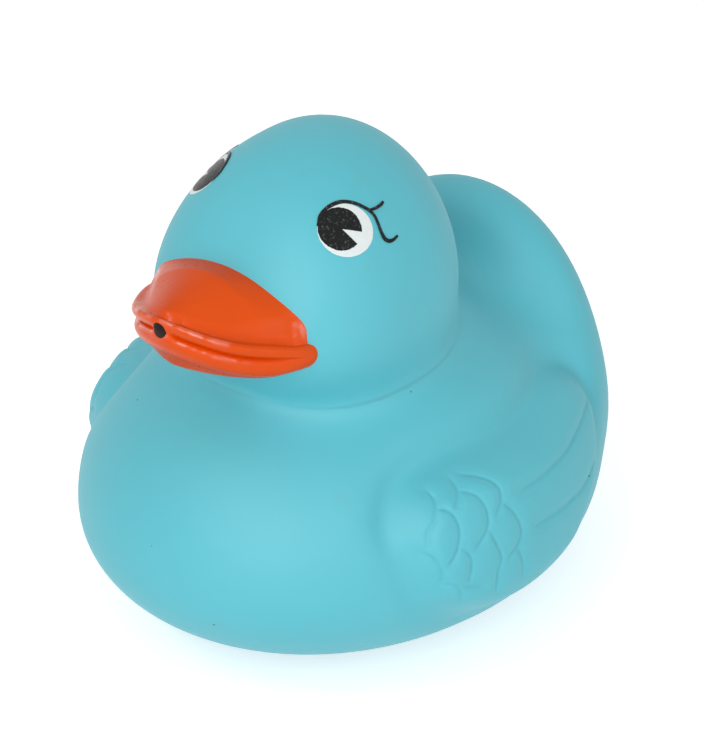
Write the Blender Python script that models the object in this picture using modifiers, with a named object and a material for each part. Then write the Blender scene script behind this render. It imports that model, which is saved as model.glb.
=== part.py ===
"""Rubber duck: one hollow moulding in soft turquoise vinyl with a painted bill and printed eyes.

The duck faces -Y, its left side is +X and it stands on the XY plane, in metres.
Its smooth form is a blend of three egg shapes, body, tail and head, with a raised wing on each flank.
A sphere of each egg is merged into one skin, and every vertex is then moved onto the blended form.
"""
import math

import bmesh
import bpy
import numpy as np
from mathutils import Matrix, Vector

# Body: an egg that is taller above its widest part, on a small flat base
BODY_CENTRE = (0.0, 0.0001, 0.0197)
BODY_HALF_WIDTH = 0.0377
BODY_FRONT = 0.0447
BODY_BACK = 0.0430
BODY_ABOVE = 0.0292
BODY_BELOW = 0.0213
BASE_BLEND = 0.008
BASE_SINK = 0.0008

# Tail: an upright blade that leans back, blended into the rump
TAIL_CENTRE = (0.0, 0.0309, 0.0280)
TAIL_HALF_WIDTH = 0.0243
TAIL_HALF_THICKNESS = 0.0110
TAIL_ABOVE = 0.0284
TAIL_BELOW = 0.0220
TAIL_LEAN = math.radians(2.35)
TAIL_BLEND = 0.014

# Head: an egg with full cheeks, a little narrower and further back at the crown
HEAD_CENTRE = (0.0, -0.0055, 0.0563)
HEAD_HALF_WIDTH = 0.0212
HEAD_FRONT = 0.0240
HEAD_BACK = 0.0194
HEAD_ABOVE = 0.0227
HEAD_BELOW = 0.0221
HEAD_TAPER = 0.075
HEAD_LEAN = 0.069
CHEEK_POWER = 2.7
NECK_BLEND = 0.006
SADDLE_BLEND = 0.016
SADDLE_FROM = 0.0014
SADDLE_TO = 0.0154
SADDLE_CENTRE = (0.0, 0.0170, 0.0410)
SADDLE_RADII = (0.0190, 0.0130, 0.0110)

# Vinyl skin, and the size of the faces outside, on the wings and inside
WALL = 0.0020
SKIN_FACE = 0.0040
CAVITY_FACE = 0.0075
SETTLE_ROUNDS = 8

# Bill: a blunt pointed oval in plan, with a rolled lip above and below the mouth line
BILL_HALF_WIDTH = 0.0145
BILL_ROOT = -0.0248
BILL_REACH = 0.0158
BILL_SUNK = 0.0085
BILL_POWER = 1.83
MOUTH_ROOT = 0.0554
MOUTH_RISE = 0.0015
MOUTH_FLICK = 0.0037
RIDGE_ROOT = 0.0670
RIDGE_SLOPE = 0.288
RIDGE_MOST = 0.0094
ARCH_POWER = 0.55
HOLLOW_POWER = 1.9
JAW_DEPTH_ROOT = 0.0064
JAW_DEPTH_TIP = 0.0047
LIP_UPPER = 0.0008
LIP_LOWER = 0.0018
LIP_SETBACK = 0.0004
LIP_GROOVE = 0.0006
BILL_STEPS = 36
BILL_ROWS = 16

# Squirt hole through the bill's tip, and the hollow behind it
HOLE_RADIUS = 0.0012
HOLE_SIDES = 20
POCKET_CENTRE = (0.0, -0.0268, 0.0582)
POCKET_RADII = (0.0100, 0.0105, 0.0030)
POCKET_TILT = math.radians(17.0)

# Wings: a raised outline on each flank, as (y, z) seen from the side, thicker in front
WING_OUTLINE = (
    (-0.0230, 0.0273), (-0.0218, 0.0314), (-0.0180, 0.0346), (-0.0115, 0.0359), (-0.0030, 0.0358),
    (0.0050, 0.0357), (0.0120, 0.0362), (0.0185, 0.0366), (0.0232, 0.0350), (0.0248, 0.0318),
    (0.0236, 0.0280), (0.0196, 0.0234), (0.0142, 0.0188), (0.0070, 0.0144), (-0.0015, 0.0120),
    (-0.0095, 0.0124), (-0.0162, 0.0150), (-0.0210, 0.0194),
)
WING_RAISE_FRONT = 0.0026
WING_RAISE_BACK = 0.0013
WING_FRONT = -0.0080
WING_BACK = 0.0120
WING_EDGE = 0.0046
WING_TOE = 0.25
WING_SIDE = 0.0120

# Feather lines pressed into the wings, as (y, z) seen from the side
FEATHER_WIDTH = 0.00095
FEATHER_DEPTH = 0.00040
LONG_FEATHERS = (
    ((-0.0037, 0.0302), (0.0054, 0.0304), (0.0147, 0.0312), (0.0196, 0.0318), (0.0232, 0.0330)),
    ((-0.0028, 0.0248), (0.0045, 0.0245), (0.0112, 0.0244), (0.0162, 0.0252)),
)
SCALE_FEATHERS = (
    ((-0.0168, 0.0344), (-0.0173, 0.0324), (-0.0194, 0.0297), (-0.0207, 0.0273)),
    ((-0.0127, 0.0350), (-0.0129, 0.0336), (-0.0140, 0.0324), (-0.0153, 0.0313)),
    ((-0.0108, 0.0347), (-0.0086, 0.0338), (-0.0072, 0.0315), (-0.0077, 0.0301), (-0.0095, 0.0287)),
    ((-0.0132, 0.0333), (-0.0115, 0.0324), (-0.0105, 0.0300), (-0.0118, 0.0272), (-0.0143, 0.0256)),
    ((-0.0173, 0.0321), (-0.0156, 0.0305), (-0.0157, 0.0280), (-0.0185, 0.0247)),
    ((-0.0076, 0.0299), (-0.0058, 0.0275), (-0.0056, 0.0250), (-0.0090, 0.0223)),
    ((-0.0108, 0.0270), (-0.0099, 0.0235), (-0.0108, 0.0208), (-0.0109, 0.0178)),
    ((-0.0159, 0.0263), (-0.0149, 0.0243), (-0.0157, 0.0213)),
    ((-0.0213, 0.0264), (-0.0196, 0.0243), (-0.0198, 0.0218)),
    ((-0.0168, 0.0208), (-0.0135, 0.0201)),
    ((-0.0194, 0.0218), (-0.0171, 0.0203), (-0.0169, 0.0180)),
    ((-0.0070, 0.0234), (-0.0059, 0.0212), (-0.0060, 0.0186)),
)
FEATHER_STEP = 0.0020

# Printed eyes: thin raised fields of colour, placed by (x, z) of their middle on the head
EYE_LEFT = (0.0135, 0.0708)
EYE_RIGHT = (-0.0127, 0.0712)
EYE_RADIUS = 0.00425
PUPIL_RADIUS = 0.00335
PUPIL_FORWARD = 0.0011
GLINT_FROM = math.radians(-44.0)
GLINT_TO = math.radians(-8.0)
PRINT_STEP = 0.00008
PRINT_SUNK = 0.0006
LID_LINE = 0.0005
LASH_UPPER = ((0.0034, 0.0031), (0.0047, 0.0036), (0.0058, 0.0045))
LASH_LOWER = ((0.0037, 0.0031), (0.0047, 0.0015), (0.0051, -0.0001), (0.0058, -0.0014), (0.0079, -0.0006))

# Colours: turquoise vinyl, orange paint, white and black ink
VINYL = (0.160, 0.560, 0.640, 1.0)
ORANGE = (0.800, 0.140, 0.020, 1.0)
WHITE = (0.720, 0.780, 0.770, 1.0)
BLACK = (0.015, 0.017, 0.017, 1.0)


def clear_scene():
    """Remove every object that is in the scene."""
    for item in list(bpy.data.objects):
        bpy.data.objects.remove(item, do_unlink=True)


def new_collection(name, parent=None):
    """Add a collection of this name to the scene, or inside another."""
    group = bpy.data.collections.new(name)
    (parent or bpy.context.scene.collection).children.link(group)
    return group


def new_material(name, colour, roughness):
    """Make a plain opaque finish."""
    material = bpy.data.materials.new(name)
    material.use_nodes = True
    shader = material.node_tree.nodes["Principled BSDF"]
    shader.inputs["Base Color"].default_value = colour
    shader.inputs["Roughness"].default_value = roughness
    shader.inputs["Metallic"].default_value = 0.0
    material.diffuse_color = colour
    return material


# Blended form of the duck


def egg(points, centre, radii_minus, radii_plus):
    """Distance-like value of an egg: its radii differ on the two sides of its centre."""
    offset = points - np.asarray(centre)
    radii = np.where(offset < 0, radii_minus, radii_plus)
    scaled = offset / radii
    reach = np.sqrt((scaled ** 2).sum(-1)) + 1e-12
    slope = np.sqrt(((scaled / radii) ** 2).sum(-1)) + 1e-12
    return reach * (reach - 1.0) / slope


def smooth_union(first, second, blend):
    """Join two values with a fillet about as wide as blend."""
    near = np.maximum(blend - np.abs(first - second), 0.0) / blend
    return np.minimum(first, second) - near ** 3 * blend / 6.0


def body_value(points):
    """Egg of the body."""
    minus = (BODY_HALF_WIDTH, BODY_FRONT, BODY_BELOW)
    plus = (BODY_HALF_WIDTH, BODY_BACK, BODY_ABOVE)
    return egg(points, BODY_CENTRE, minus, plus)


def tail_value(points):
    """Leaning blade of the tail."""
    offset = points - np.asarray(TAIL_CENTRE)
    turned = offset.copy()
    turned[..., 1] = offset[..., 1] * math.cos(TAIL_LEAN) - offset[..., 2] * math.sin(TAIL_LEAN)
    turned[..., 2] = offset[..., 1] * math.sin(TAIL_LEAN) + offset[..., 2] * math.cos(TAIL_LEAN)
    minus = (TAIL_HALF_WIDTH, TAIL_HALF_THICKNESS, TAIL_BELOW)
    plus = (TAIL_HALF_WIDTH, TAIL_HALF_THICKNESS, TAIL_ABOVE)
    return egg(turned, (0.0, 0.0, 0.0), minus, plus)


def head_value(points):
    """Egg of the head, with full cheeks in front, narrowing towards the crown."""
    rise = points[..., 2] - HEAD_CENTRE[2]
    narrow = 1.0 + HEAD_TAPER * np.clip(rise / HEAD_ABOVE, -1.2, 1.2)
    forward = (points[..., 1] - HEAD_CENTRE[1] - HEAD_LEAN * rise) * narrow
    height = np.where(rise < 0.0, HEAD_BELOW, HEAD_ABOVE)
    length = np.where(forward < 0.0, HEAD_FRONT, HEAD_BACK)
    power = np.where(forward < 0.0, CHEEK_POWER, 2.0)
    across = np.abs(points[..., 0] * narrow) / HEAD_HALF_WIDTH + 1e-6
    along = np.abs(forward) / length + 1e-6
    up = rise / height
    plan = across ** power + along ** power
    reach = np.sqrt(plan ** (2.0 / power) + up ** 2)
    share = plan ** (2.0 / power - 1.0) / reach
    steep = (share * across ** (power - 1.0) / HEAD_HALF_WIDTH) ** 2
    steep = steep + (share * along ** (power - 1.0) / length) ** 2 + (up / (height * reach)) ** 2
    return (reach - 1.0) / np.sqrt(steep)


def stand_value(points):
    """Body and tail in one, flattened below."""
    rump = smooth_union(body_value(points), tail_value(points), TAIL_BLEND)
    return -smooth_union(-rump, points[..., 2] + BASE_SINK, BASE_BLEND)


def plain_value(points):
    """Body, tail and head in one, without the wings."""
    behind = np.clip((points[..., 1] - SADDLE_FROM) / (SADDLE_TO - SADDLE_FROM), 0.0, 1.0)
    blend = NECK_BLEND + (SADDLE_BLEND - NECK_BLEND) * behind * behind * (3.0 - 2.0 * behind)
    return smooth_union(stand_value(points), head_value(points), blend)


def outline_depth(outline, side, up):
    """How far each point lies inside a closed outline, below zero outside it."""
    starts = np.array(outline)
    ends = np.roll(starts, -1, axis=0)
    runs = ends - starts
    offset = np.stack([side, up], -1)[..., None, :] - starts
    along = np.clip((offset * runs).sum(-1) / (runs ** 2).sum(-1), 0.0, 1.0)
    nearest = np.linalg.norm(offset - along[..., None] * runs, axis=-1).min(-1)
    height = up[..., None]
    crosses = (starts[:, 1] > height) != (ends[:, 1] > height)
    rise = np.where(np.abs(runs[:, 1]) > 1e-9, runs[:, 1], 1e-9)
    level = starts[:, 0] + (height - starts[:, 1]) * runs[:, 0] / rise
    inside = (crosses & (side[..., None] < level)).sum(-1) % 2 == 1
    return np.where(inside, nearest, -nearest)


def smooth_loop(points, steps):
    """Round a closed outline into a curve through its points."""
    count = len(points)
    curve = []
    for index in range(count):
        around = [np.array(points[(index + shift) % count]) for shift in (-1, 0, 1, 2)]
        curve += [tuple(catmull(around, step / steps)) for step in range(steps)]
    return tuple(curve)


def catmull(around, part):
    """Point between the middle two of four, on the smooth curve through them."""
    before, start, end, after = around
    bend = 2.0 * before - 5.0 * start + 4.0 * end - after
    twist = -before + 3.0 * start - 3.0 * end + after
    return start + 0.5 * part * ((end - before) + part * (bend + part * twist))


WING_CURVE = smooth_loop(WING_OUTLINE, 4)


def wing_lift(points):
    """Height of the wing pads above the flank, rounded at their edge and thinner behind."""
    depth = outline_depth(WING_CURVE, points[..., 1], points[..., 2])
    rise = np.clip(depth / WING_EDGE + WING_TOE, 0.0, 1.0)
    rise = rise * rise * (3.0 - 2.0 * rise)
    behind = np.clip((points[..., 1] - WING_FRONT) / (WING_BACK - WING_FRONT), 0.0, 1.0)
    full = WING_RAISE_FRONT + (WING_RAISE_BACK - WING_RAISE_FRONT) * behind
    return full * rise * (np.abs(points[..., 0]) > WING_SIDE)


def duck_value(points):
    """Whole outer form without the bill."""
    return plain_value(points) - wing_lift(points)


def slope_of(value, points):
    """Gradient of a value by small central steps."""
    step = 2e-5
    slope = np.zeros_like(points)
    for axis in range(3):
        shift = np.zeros(3)
        shift[axis] = step
        slope[..., axis] = (value(points + shift) - value(points - shift)) / (2.0 * step)
    return slope


def settle(mesh, value, level, floor):
    """Move every vertex of a mesh onto the surface where the value is level, flat at the floor."""
    points = np.empty(len(mesh.vertices) * 3)
    mesh.vertices.foreach_get("co", points)
    points = points.reshape(-1, 3)
    for _ in range(5):
        slope = slope_of(value, points)
        error = value(points) - level
        points -= slope * (error / (slope ** 2).sum(-1))[:, None]
    points[:, 2] = np.maximum(points[:, 2], floor)
    mesh.vertices.foreach_set("co", points.ravel())
    mesh.update()


def even_out(mesh):
    """Slide every vertex half way to the middle of its neighbours."""
    work = bmesh.new()
    work.from_mesh(mesh)
    bmesh.ops.smooth_vert(work, verts=work.verts, factor=0.5, use_axis_x=True, use_axis_y=True,
                          use_axis_z=True)
    work.to_mesh(mesh)
    work.free()


def evaluated_mesh(item):
    """Mesh of an object with its modifiers applied."""
    depsgraph = bpy.context.evaluated_depsgraph_get()
    return bpy.data.meshes.new_from_object(item.evaluated_get(depsgraph))


def add_egg_mesh(work, centre, radii):
    """Add one sphere stretched to these radii."""
    place = Matrix.Translation(centre) @ Matrix.Diagonal((*radii, 1.0))
    bmesh.ops.create_uvsphere(work, u_segments=48, v_segments=32, radius=1.0, matrix=place)


def merged_eggs(name, group, face_size):
    """Spheres of body, tail and head merged into one closed skin of even faces."""
    work = bmesh.new()
    add_egg_mesh(work, BODY_CENTRE, (BODY_HALF_WIDTH, BODY_FRONT, BODY_BELOW))
    add_egg_mesh(work, TAIL_CENTRE, (TAIL_HALF_WIDTH, TAIL_HALF_THICKNESS, TAIL_ABOVE))
    add_egg_mesh(work, HEAD_CENTRE, (HEAD_HALF_WIDTH, HEAD_FRONT, HEAD_ABOVE))
    add_egg_mesh(work, SADDLE_CENTRE, SADDLE_RADII)
    mesh = bpy.data.meshes.new(name)
    work.to_mesh(mesh)
    work.free()
    item = bpy.data.objects.new(name, mesh)
    group.objects.link(item)
    merge = item.modifiers.new("merge", "REMESH")
    merge.mode = "VOXEL"
    merge.voxel_size = face_size
    item.data = evaluated_mesh(item)
    item.modifiers.clear()
    bpy.data.meshes.remove(mesh)
    return item


def needs_detail(points):
    """True at the edges of the wings and in the crease of the neck, where the form bends sharply."""
    depth = outline_depth(WING_CURVE, points[:, 1], points[:, 2])
    wing = (np.abs(points[:, 0]) > WING_SIDE) & (np.abs(depth / WING_EDGE - WING_TOE) < 0.65)
    neck = np.abs(head_value(points) - stand_value(points)) < NECK_BLEND * 0.6
    return wing | neck


def refine(mesh):
    """Split the faces where the form bends sharply."""
    work = bmesh.new()
    work.from_mesh(mesh)
    work.edges.ensure_lookup_table()
    middles = np.array([(edge.verts[0].co + edge.verts[1].co) / 2.0 for edge in work.edges])
    near = [work.edges[index] for index in np.nonzero(needs_detail(middles))[0]]
    bmesh.ops.subdivide_edges(work, edges=near, cuts=1, use_grid_fill=True)
    bmesh.ops.triangulate(work, faces=[face for face in work.faces if len(face.verts) > 4])
    work.to_mesh(mesh)
    work.free()


def make_skin(group, vinyl):
    """Outer form of body, tail, head and wings."""
    skin = merged_eggs("duck", group, SKIN_FACE)
    for _ in range(SETTLE_ROUNDS):
        settle(skin.data, plain_value, 0.0, 0.0)
        even_out(skin.data)
    settle(skin.data, plain_value, 0.0, 0.0)
    refine(skin.data)
    settle(skin.data, duck_value, 0.0, 0.0)
    skin.data.materials.clear()
    skin.data.materials.append(vinyl)
    skin.data.polygons.foreach_set("use_smooth", [True] * len(skin.data.polygons))
    return skin


def make_cavity(group):
    """Hollow inside, one wall thickness below the outer form."""
    cavity = merged_eggs("cavity", group, CAVITY_FACE)
    for _ in range(SETTLE_ROUNDS):
        settle(cavity.data, plain_value, -WALL, WALL)
        even_out(cavity.data)
    settle(cavity.data, plain_value, -WALL, WALL)
    return cavity


# Bill


def mouth_height(side):
    """Height of the mouth line at a y place: it rises forward and flicks up at the tip."""
    part = np.clip((BILL_ROOT - side) / BILL_REACH, -0.5, 1.0)
    return MOUTH_ROOT + MOUTH_RISE * part + MOUTH_FLICK * np.maximum(part, 0.0) ** 3


def bill_section(across, side, inset):
    """Share of the half width at this y place, and how far back from the tip it is."""
    length = np.where(side < BILL_ROOT, BILL_REACH, BILL_SUNK) - inset
    part = np.clip((side - BILL_ROOT) / length, -1.0, 1.0)
    narrow = np.maximum(1.0 - np.abs(part) ** BILL_POWER, 1e-9) ** (1.0 / BILL_POWER)
    half = (BILL_HALF_WIDTH - inset) * narrow
    back = np.clip((side - BILL_ROOT + BILL_REACH) / BILL_REACH, 0.0, 1.0)
    return np.clip(np.abs(across) / half, 0.0, 1.0), back


def top_rise(across, side):
    """Height of the bill's top above the mouth: arched at the root, hollow-sided at the tip."""
    lip = 2.0 * LIP_UPPER
    share, back = bill_section(across, side, LIP_UPPER)
    ridge = RIDGE_ROOT + RIDGE_SLOPE * (side - BILL_ROOT) - mouth_height(side)
    ridge = np.clip(ridge, lip, RIDGE_MOST)
    power = HOLLOW_POWER + (ARCH_POWER - HOLLOW_POWER) * back
    return lip + (ridge - lip) * (1.0 - share ** 2) ** power


def jaw_drop(across, side):
    """Depth of the lower jaw below the mouth."""
    lip = 2.0 * LIP_LOWER
    share, back = bill_section(across, side, LIP_LOWER + LIP_SETBACK)
    depth = JAW_DEPTH_TIP + (JAW_DEPTH_ROOT - JAW_DEPTH_TIP) * back
    return lip + (depth - lip) * (1.0 - share ** 2) ** 0.7


def bill_point(turn, ring, rings):
    """Place on the bill: turn goes round in plan, ring from the jaw's middle up to the ridge."""
    upper = ring >= rings // 2
    step = abs(ring - rings // 2)
    lip_steps = rings // 4
    radius = LIP_UPPER if upper else LIP_LOWER
    setback = 0.0 if upper else LIP_SETBACK
    if step <= lip_steps:
        angle = math.radians(-50.0 + 140.0 * step / lip_steps)
        inset = setback + radius * (1.0 - math.cos(angle))
        rise = radius * (1.0 + math.sin(angle))
        share = 1.0
        if step == 0:
            inset = LIP_GROOVE + LIP_SETBACK / 2.0
            rise = 0.0
    else:
        inset = setback + radius
        rise = None
        share = 1.0 - (step - lip_steps) / (rings // 2 - lip_steps)
    aside = math.copysign(abs(math.sin(turn)) ** (2.0 / BILL_POWER), math.sin(turn))
    ahead = math.copysign(abs(math.cos(turn)) ** (2.0 / BILL_POWER), math.cos(turn))
    across = (BILL_HALF_WIDTH - inset) * share * aside
    length = BILL_REACH if ahead > 0.0 else BILL_SUNK
    side = BILL_ROOT - (length - inset) * share * ahead
    if rise is None:
        spread = np.array([across]), np.array([side])
        rise = float(top_rise(*spread)[0] if upper else jaw_drop(*spread)[0])
    base = float(mouth_height(np.array([side]))[0])
    return Vector((across, side, base + rise if upper else base - rise))


def make_bill(group, orange):
    """Bill as a sphere whose rows follow the lips, the ridge and the jaw."""
    work = bmesh.new()
    made = bmesh.ops.create_uvsphere(work, u_segments=BILL_STEPS, v_segments=BILL_ROWS, radius=1.0)
    for vert in made["verts"]:
        turn = math.atan2(vert.co.x, -vert.co.y)
        ring = round((0.5 + math.asin(max(-1.0, min(1.0, vert.co.z))) / math.pi) * BILL_ROWS)
        vert.co = bill_point(turn, ring, BILL_ROWS)
    bmesh.ops.recalc_face_normals(work, faces=work.faces)
    mesh = bpy.data.meshes.new("bill")
    work.to_mesh(mesh)
    work.free()
    mesh.materials.append(orange)
    mesh.polygons.foreach_set("use_smooth", [True] * len(mesh.polygons))
    bill = bpy.data.objects.new("bill", mesh)
    group.objects.link(bill)
    return bill


def make_pocket(group):
    """Hollow of the bill, open to the hollow of the head."""
    work = bmesh.new()
    place = Matrix.Translation(POCKET_CENTRE) @ Matrix.Rotation(-POCKET_TILT, 4, "X")
    place = place @ Matrix.Diagonal((*POCKET_RADII, 1.0))
    bmesh.ops.create_uvsphere(work, u_segments=20, v_segments=10, radius=1.0, matrix=place)
    mesh = bpy.data.meshes.new("bill_pocket")
    work.to_mesh(mesh)
    work.free()
    pocket = bpy.data.objects.new("bill_pocket", mesh)
    group.objects.link(pocket)
    return pocket


def make_hole(group, black):
    """Squirt hole on the mouth line, from the tip of the bill into its hollow."""
    tip = BILL_ROOT - BILL_REACH
    front = Vector((0.0, tip - 0.003, float(mouth_height(np.array([tip]))[0])))
    back = Vector(POCKET_CENTRE) + Vector((0.0, -0.004, 0.0012))
    axis = back - front
    work = bmesh.new()
    place = Matrix.Translation((front + back) / 2.0) @ axis.to_track_quat("Z", "Y").to_matrix().to_4x4()
    bmesh.ops.create_cone(work, cap_ends=True, segments=HOLE_SIDES, radius1=HOLE_RADIUS,
                          radius2=HOLE_RADIUS, depth=axis.length, matrix=place)
    mesh = bpy.data.meshes.new("squirt_hole")
    work.to_mesh(mesh)
    work.free()
    mesh.materials.append(black)
    hole = bpy.data.objects.new("squirt_hole", mesh)
    group.objects.link(hole)
    return hole


# Feather lines


def on_flank(path, hand):
    """Points of the flank at these side view places, and the outward directions there."""
    points = np.array([(hand * BODY_HALF_WIDTH, *place) for place in path])
    for _ in range(8):
        slope = slope_of(duck_value, points)
        points[:, 0] -= duck_value(points) / slope[:, 0]
    slope = slope_of(duck_value, points)
    return points, slope / np.linalg.norm(slope, axis=1)[:, None]


def smooth_path(points):
    """Points at even steps along the smooth curve through a few given ones."""
    given = [np.array(point) for point in points]
    ends = [2.0 * given[0] - given[1]] + given + [2.0 * given[-1] - given[-2]]
    path = []
    for index in range(len(given) - 1):
        run = float(np.linalg.norm(given[index + 1] - given[index]))
        steps = max(1, round(run / FEATHER_STEP))
        path += [catmull(ends[index:index + 4], step / steps) for step in range(steps)]
    return path + [given[-1]]


def make_feather_line(group, name, points, hand):
    """Wire laid on the flank, sunk to the depth that its groove has."""
    radius = (FEATHER_WIDTH ** 2 / 4.0 + FEATHER_DEPTH ** 2) / (2.0 * FEATHER_DEPTH)
    data = bpy.data.curves.new(name, "CURVE")
    data.dimensions = "3D"
    data.bevel_depth = radius
    data.bevel_resolution = 1
    data.use_fill_caps = True
    line = data.splines.new("POLY")
    places, normals = on_flank(smooth_path(points), hand)
    line.points.add(len(places) - 1)
    for spot, centre in zip(line.points, places + normals * (radius - FEATHER_DEPTH)):
        spot.co = (*centre, 1.0)
    wire = bpy.data.objects.new(name, data)
    group.objects.link(wire)
    mesh = evaluated_mesh(wire)
    work = bmesh.new()
    work.from_mesh(mesh)
    bmesh.ops.remove_doubles(work, verts=work.verts, dist=1e-6)
    bmesh.ops.recalc_face_normals(work, faces=work.faces)
    work.to_mesh(mesh)
    work.free()
    bpy.data.objects.remove(wire)
    cutter = bpy.data.objects.new(name, mesh)
    group.objects.link(cutter)
    return cutter


# Printed eyes


def eye_frame(hand):
    """Middle of an eye and its outward, rearward and upward directions."""
    across, height = EYE_LEFT if hand > 0 else EYE_RIGHT
    point = np.array([[across, HEAD_CENTRE[1] - HEAD_FRONT, height]])
    for _ in range(30):
        slope = slope_of(head_value, point)
        point[:, 1] -= 0.7 * head_value(point) / slope[:, 1]
    middle = Vector(point[0])
    out = Vector(slope_of(head_value, point)[0]).normalized()
    up = (Vector((0.0, 0.0, 1.0)) - out * out.z).normalized()
    back = up.cross(out) * hand
    return middle, out, back, up


def on_head(place, out, lift):
    """Point of the head under a place near an eye, lifted by a little."""
    point = np.array([place])
    for _ in range(6):
        slope = slope_of(head_value, point)
        share = (slope @ np.array(out))
        point -= np.array(out) * (head_value(point) / share)[:, None]
    return Vector(point[0]) + out * lift


def make_print(group, name, rows, hand, layer, ink):
    """Thin field of ink: rows of (back, up) places, each row a cross line or a ring."""
    middle, out, back, up = eye_frame(hand)
    work = bmesh.new()
    skins = []
    for lift in (-PRINT_SUNK, layer * PRINT_STEP):
        sheet = []
        for row in rows:
            places = [middle + back * spot[0] + up * spot[1] for spot in row]
            sheet.append([work.verts.new(on_head(place, out, lift)) for place in places])
        skins.append(sheet)
    count = len(rows[0])
    closed = count > 4
    turns = count if closed else count - 1
    for sheet in skins:
        for low, high in zip(sheet, sheet[1:]):
            for index in range(turns):
                follow = (index + 1) % count
                work.faces.new((low[index], low[follow], high[follow], high[index]))
        if closed:
            work.faces.new(sheet[-1])
    below, above = skins
    if closed:
        rim = [(below[0][index], above[0][index]) for index in range(count)]
    else:
        order = [(row, 0) for row in range(len(rows))]
        order += [(len(rows) - 1, spot) for spot in range(1, count)]
        order += [(row, count - 1) for row in reversed(range(len(rows) - 1))]
        order += [(0, spot) for spot in reversed(range(1, count - 1))]
        rim = [(below[row][spot], above[row][spot]) for row, spot in order]
    for (low, high), (next_low, next_high) in zip(rim, rim[1:] + rim[:1]):
        work.faces.new((low, next_low, next_high, high))
    bmesh.ops.recalc_face_normals(work, faces=work.faces)
    mesh = bpy.data.meshes.new(name)
    work.to_mesh(mesh)
    work.free()
    mesh.materials.append(ink)
    field = bpy.data.objects.new(name, mesh)
    group.objects.link(field)
    return field


def disc_rows(radius, forward, sides):
    """Rings of a round field, from its rim inward."""
    rows = []
    for share in (1.0, 0.55, 0.15):
        turns = [2.0 * math.pi * index / sides for index in range(sides)]
        rows.append([(-forward + share * radius * math.cos(turn), share * radius * math.sin(turn))
                     for turn in turns])
    return rows


def glint_rows():
    """Cross lines of the white wedge that is left open in the pupil."""
    rows = []
    for share in (0.12, 0.45, 0.75, 1.04):
        reach = share * PUPIL_RADIUS
        turns = [GLINT_FROM + (GLINT_TO - GLINT_FROM) * part for part in (0.0, 0.5, 1.0)]
        rows.append([(-PUPIL_FORWARD / 2.0 + reach * math.cos(turn), reach * math.sin(turn))
                     for turn in turns])
    return rows


def stroke_rows(path, widths):
    """Cross lines of a pen stroke along a path."""
    rows = []
    for index, spot in enumerate(path):
        ahead = path[min(index + 1, len(path) - 1)]
        behind = path[max(index - 1, 0)]
        run = Vector((ahead[0] - behind[0], ahead[1] - behind[1])).normalized()
        half = widths[index] / 2.0
        rows.append([(spot[0] - run.y * half, spot[1] + run.x * half),
                     (spot[0] + run.y * half, spot[1] - run.x * half)])
    return rows


def lid_rows():
    """Lid line over the eye, from its front round to the lashes, thinning backwards."""
    turns = [math.radians(172.0 - 138.0 * part / 8.0) for part in range(9)]
    path = [(EYE_RADIUS * math.cos(turn), EYE_RADIUS * math.sin(turn)) for turn in turns]
    widths = [LID_LINE * (1.2 - 0.6 * part / 8.0) for part in range(9)]
    return stroke_rows(path, widths)


def make_eye(group, hand, side, white, black):
    """Fields of one printed eye, each a hair above the one below it."""
    upper = stroke_rows(LASH_UPPER, [LID_LINE, LID_LINE * 0.8, LID_LINE * 0.5])
    lower = stroke_rows(LASH_LOWER, [LID_LINE * share for share in (0.9, 0.9, 0.9, 0.8, 0.5)])
    make_print(group, "eye_white_" + side, disc_rows(EYE_RADIUS, 0.0, 28), hand, 1, white)
    make_print(group, "eye_pupil_" + side, disc_rows(PUPIL_RADIUS, PUPIL_FORWARD, 24), hand, 2, black)
    make_print(group, "eye_glint_" + side, glint_rows(), hand, 3, white)
    make_print(group, "eye_lid_" + side, lid_rows(), hand, 3, black)
    make_print(group, "lash_upper_" + side, upper, hand, 4, black)
    make_print(group, "lash_lower_" + side, lower, hand, 5, black)


def add_boolean(item, group, operation):
    """Join or cut with every object of a collection at once."""
    change = item.modifiers.new(group.name, "BOOLEAN")
    change.operation = operation
    change.solver = "EXACT"
    change.operand_type = "COLLECTION"
    change.collection = group
    for other in group.objects:
        other.hide_render = True
        other.display_type = "WIRE"


def build():
    """Make the duck as one hollow solid."""
    clear_scene()
    parts = new_collection("rubber_duck")
    guides = new_collection("duck_cutters")
    joined = new_collection("joined_forms", guides)
    hollows = new_collection("hollows", guides)
    lines = new_collection("feather_lines", guides)
    vinyl = new_material("turquoise_vinyl", VINYL, 0.50)
    orange = new_material("orange_paint", ORANGE, 0.30)
    white = new_material("white_ink", WHITE, 0.40)
    black = new_material("black_ink", BLACK, 0.35)
    duck = make_skin(parts, vinyl)
    for paint in (orange, white, black):
        duck.data.materials.append(paint)
    make_bill(joined, orange)
    make_cavity(hollows)
    make_pocket(hollows)
    make_hole(hollows, black)
    for hand, side in ((1, "left"), (-1, "right")):
        make_eye(joined, hand, side, white, black)
        for number, points in enumerate(LONG_FEATHERS + SCALE_FEATHERS, start=1):
            make_feather_line(lines, "feather_%s_%02d" % (side, number), points, hand)
    add_boolean(duck, joined, "UNION")
    add_boolean(duck, hollows, "DIFFERENCE")
    add_boolean(duck, lines, "DIFFERENCE")


build()
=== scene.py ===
"""Rubber duck: soft turquoise vinyl, a glossy orange bill with a squirt hole, and printed eyes.

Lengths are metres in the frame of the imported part. The duck faces -Y, its left side is +X and it
stands on z = 0. Body, tail and head are egg shapes blended into one form, and every piece is laid
on that form, so wings, feather lines, bill and eyes stay where the moulding carries them.
"""
import logging
import math
from dataclasses import dataclass
from dataclasses import field
from enum import Enum
from typing import Callable

import bmesh
import bpy
import numpy as np
from mathutils import Matrix
from mathutils import Vector


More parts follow.
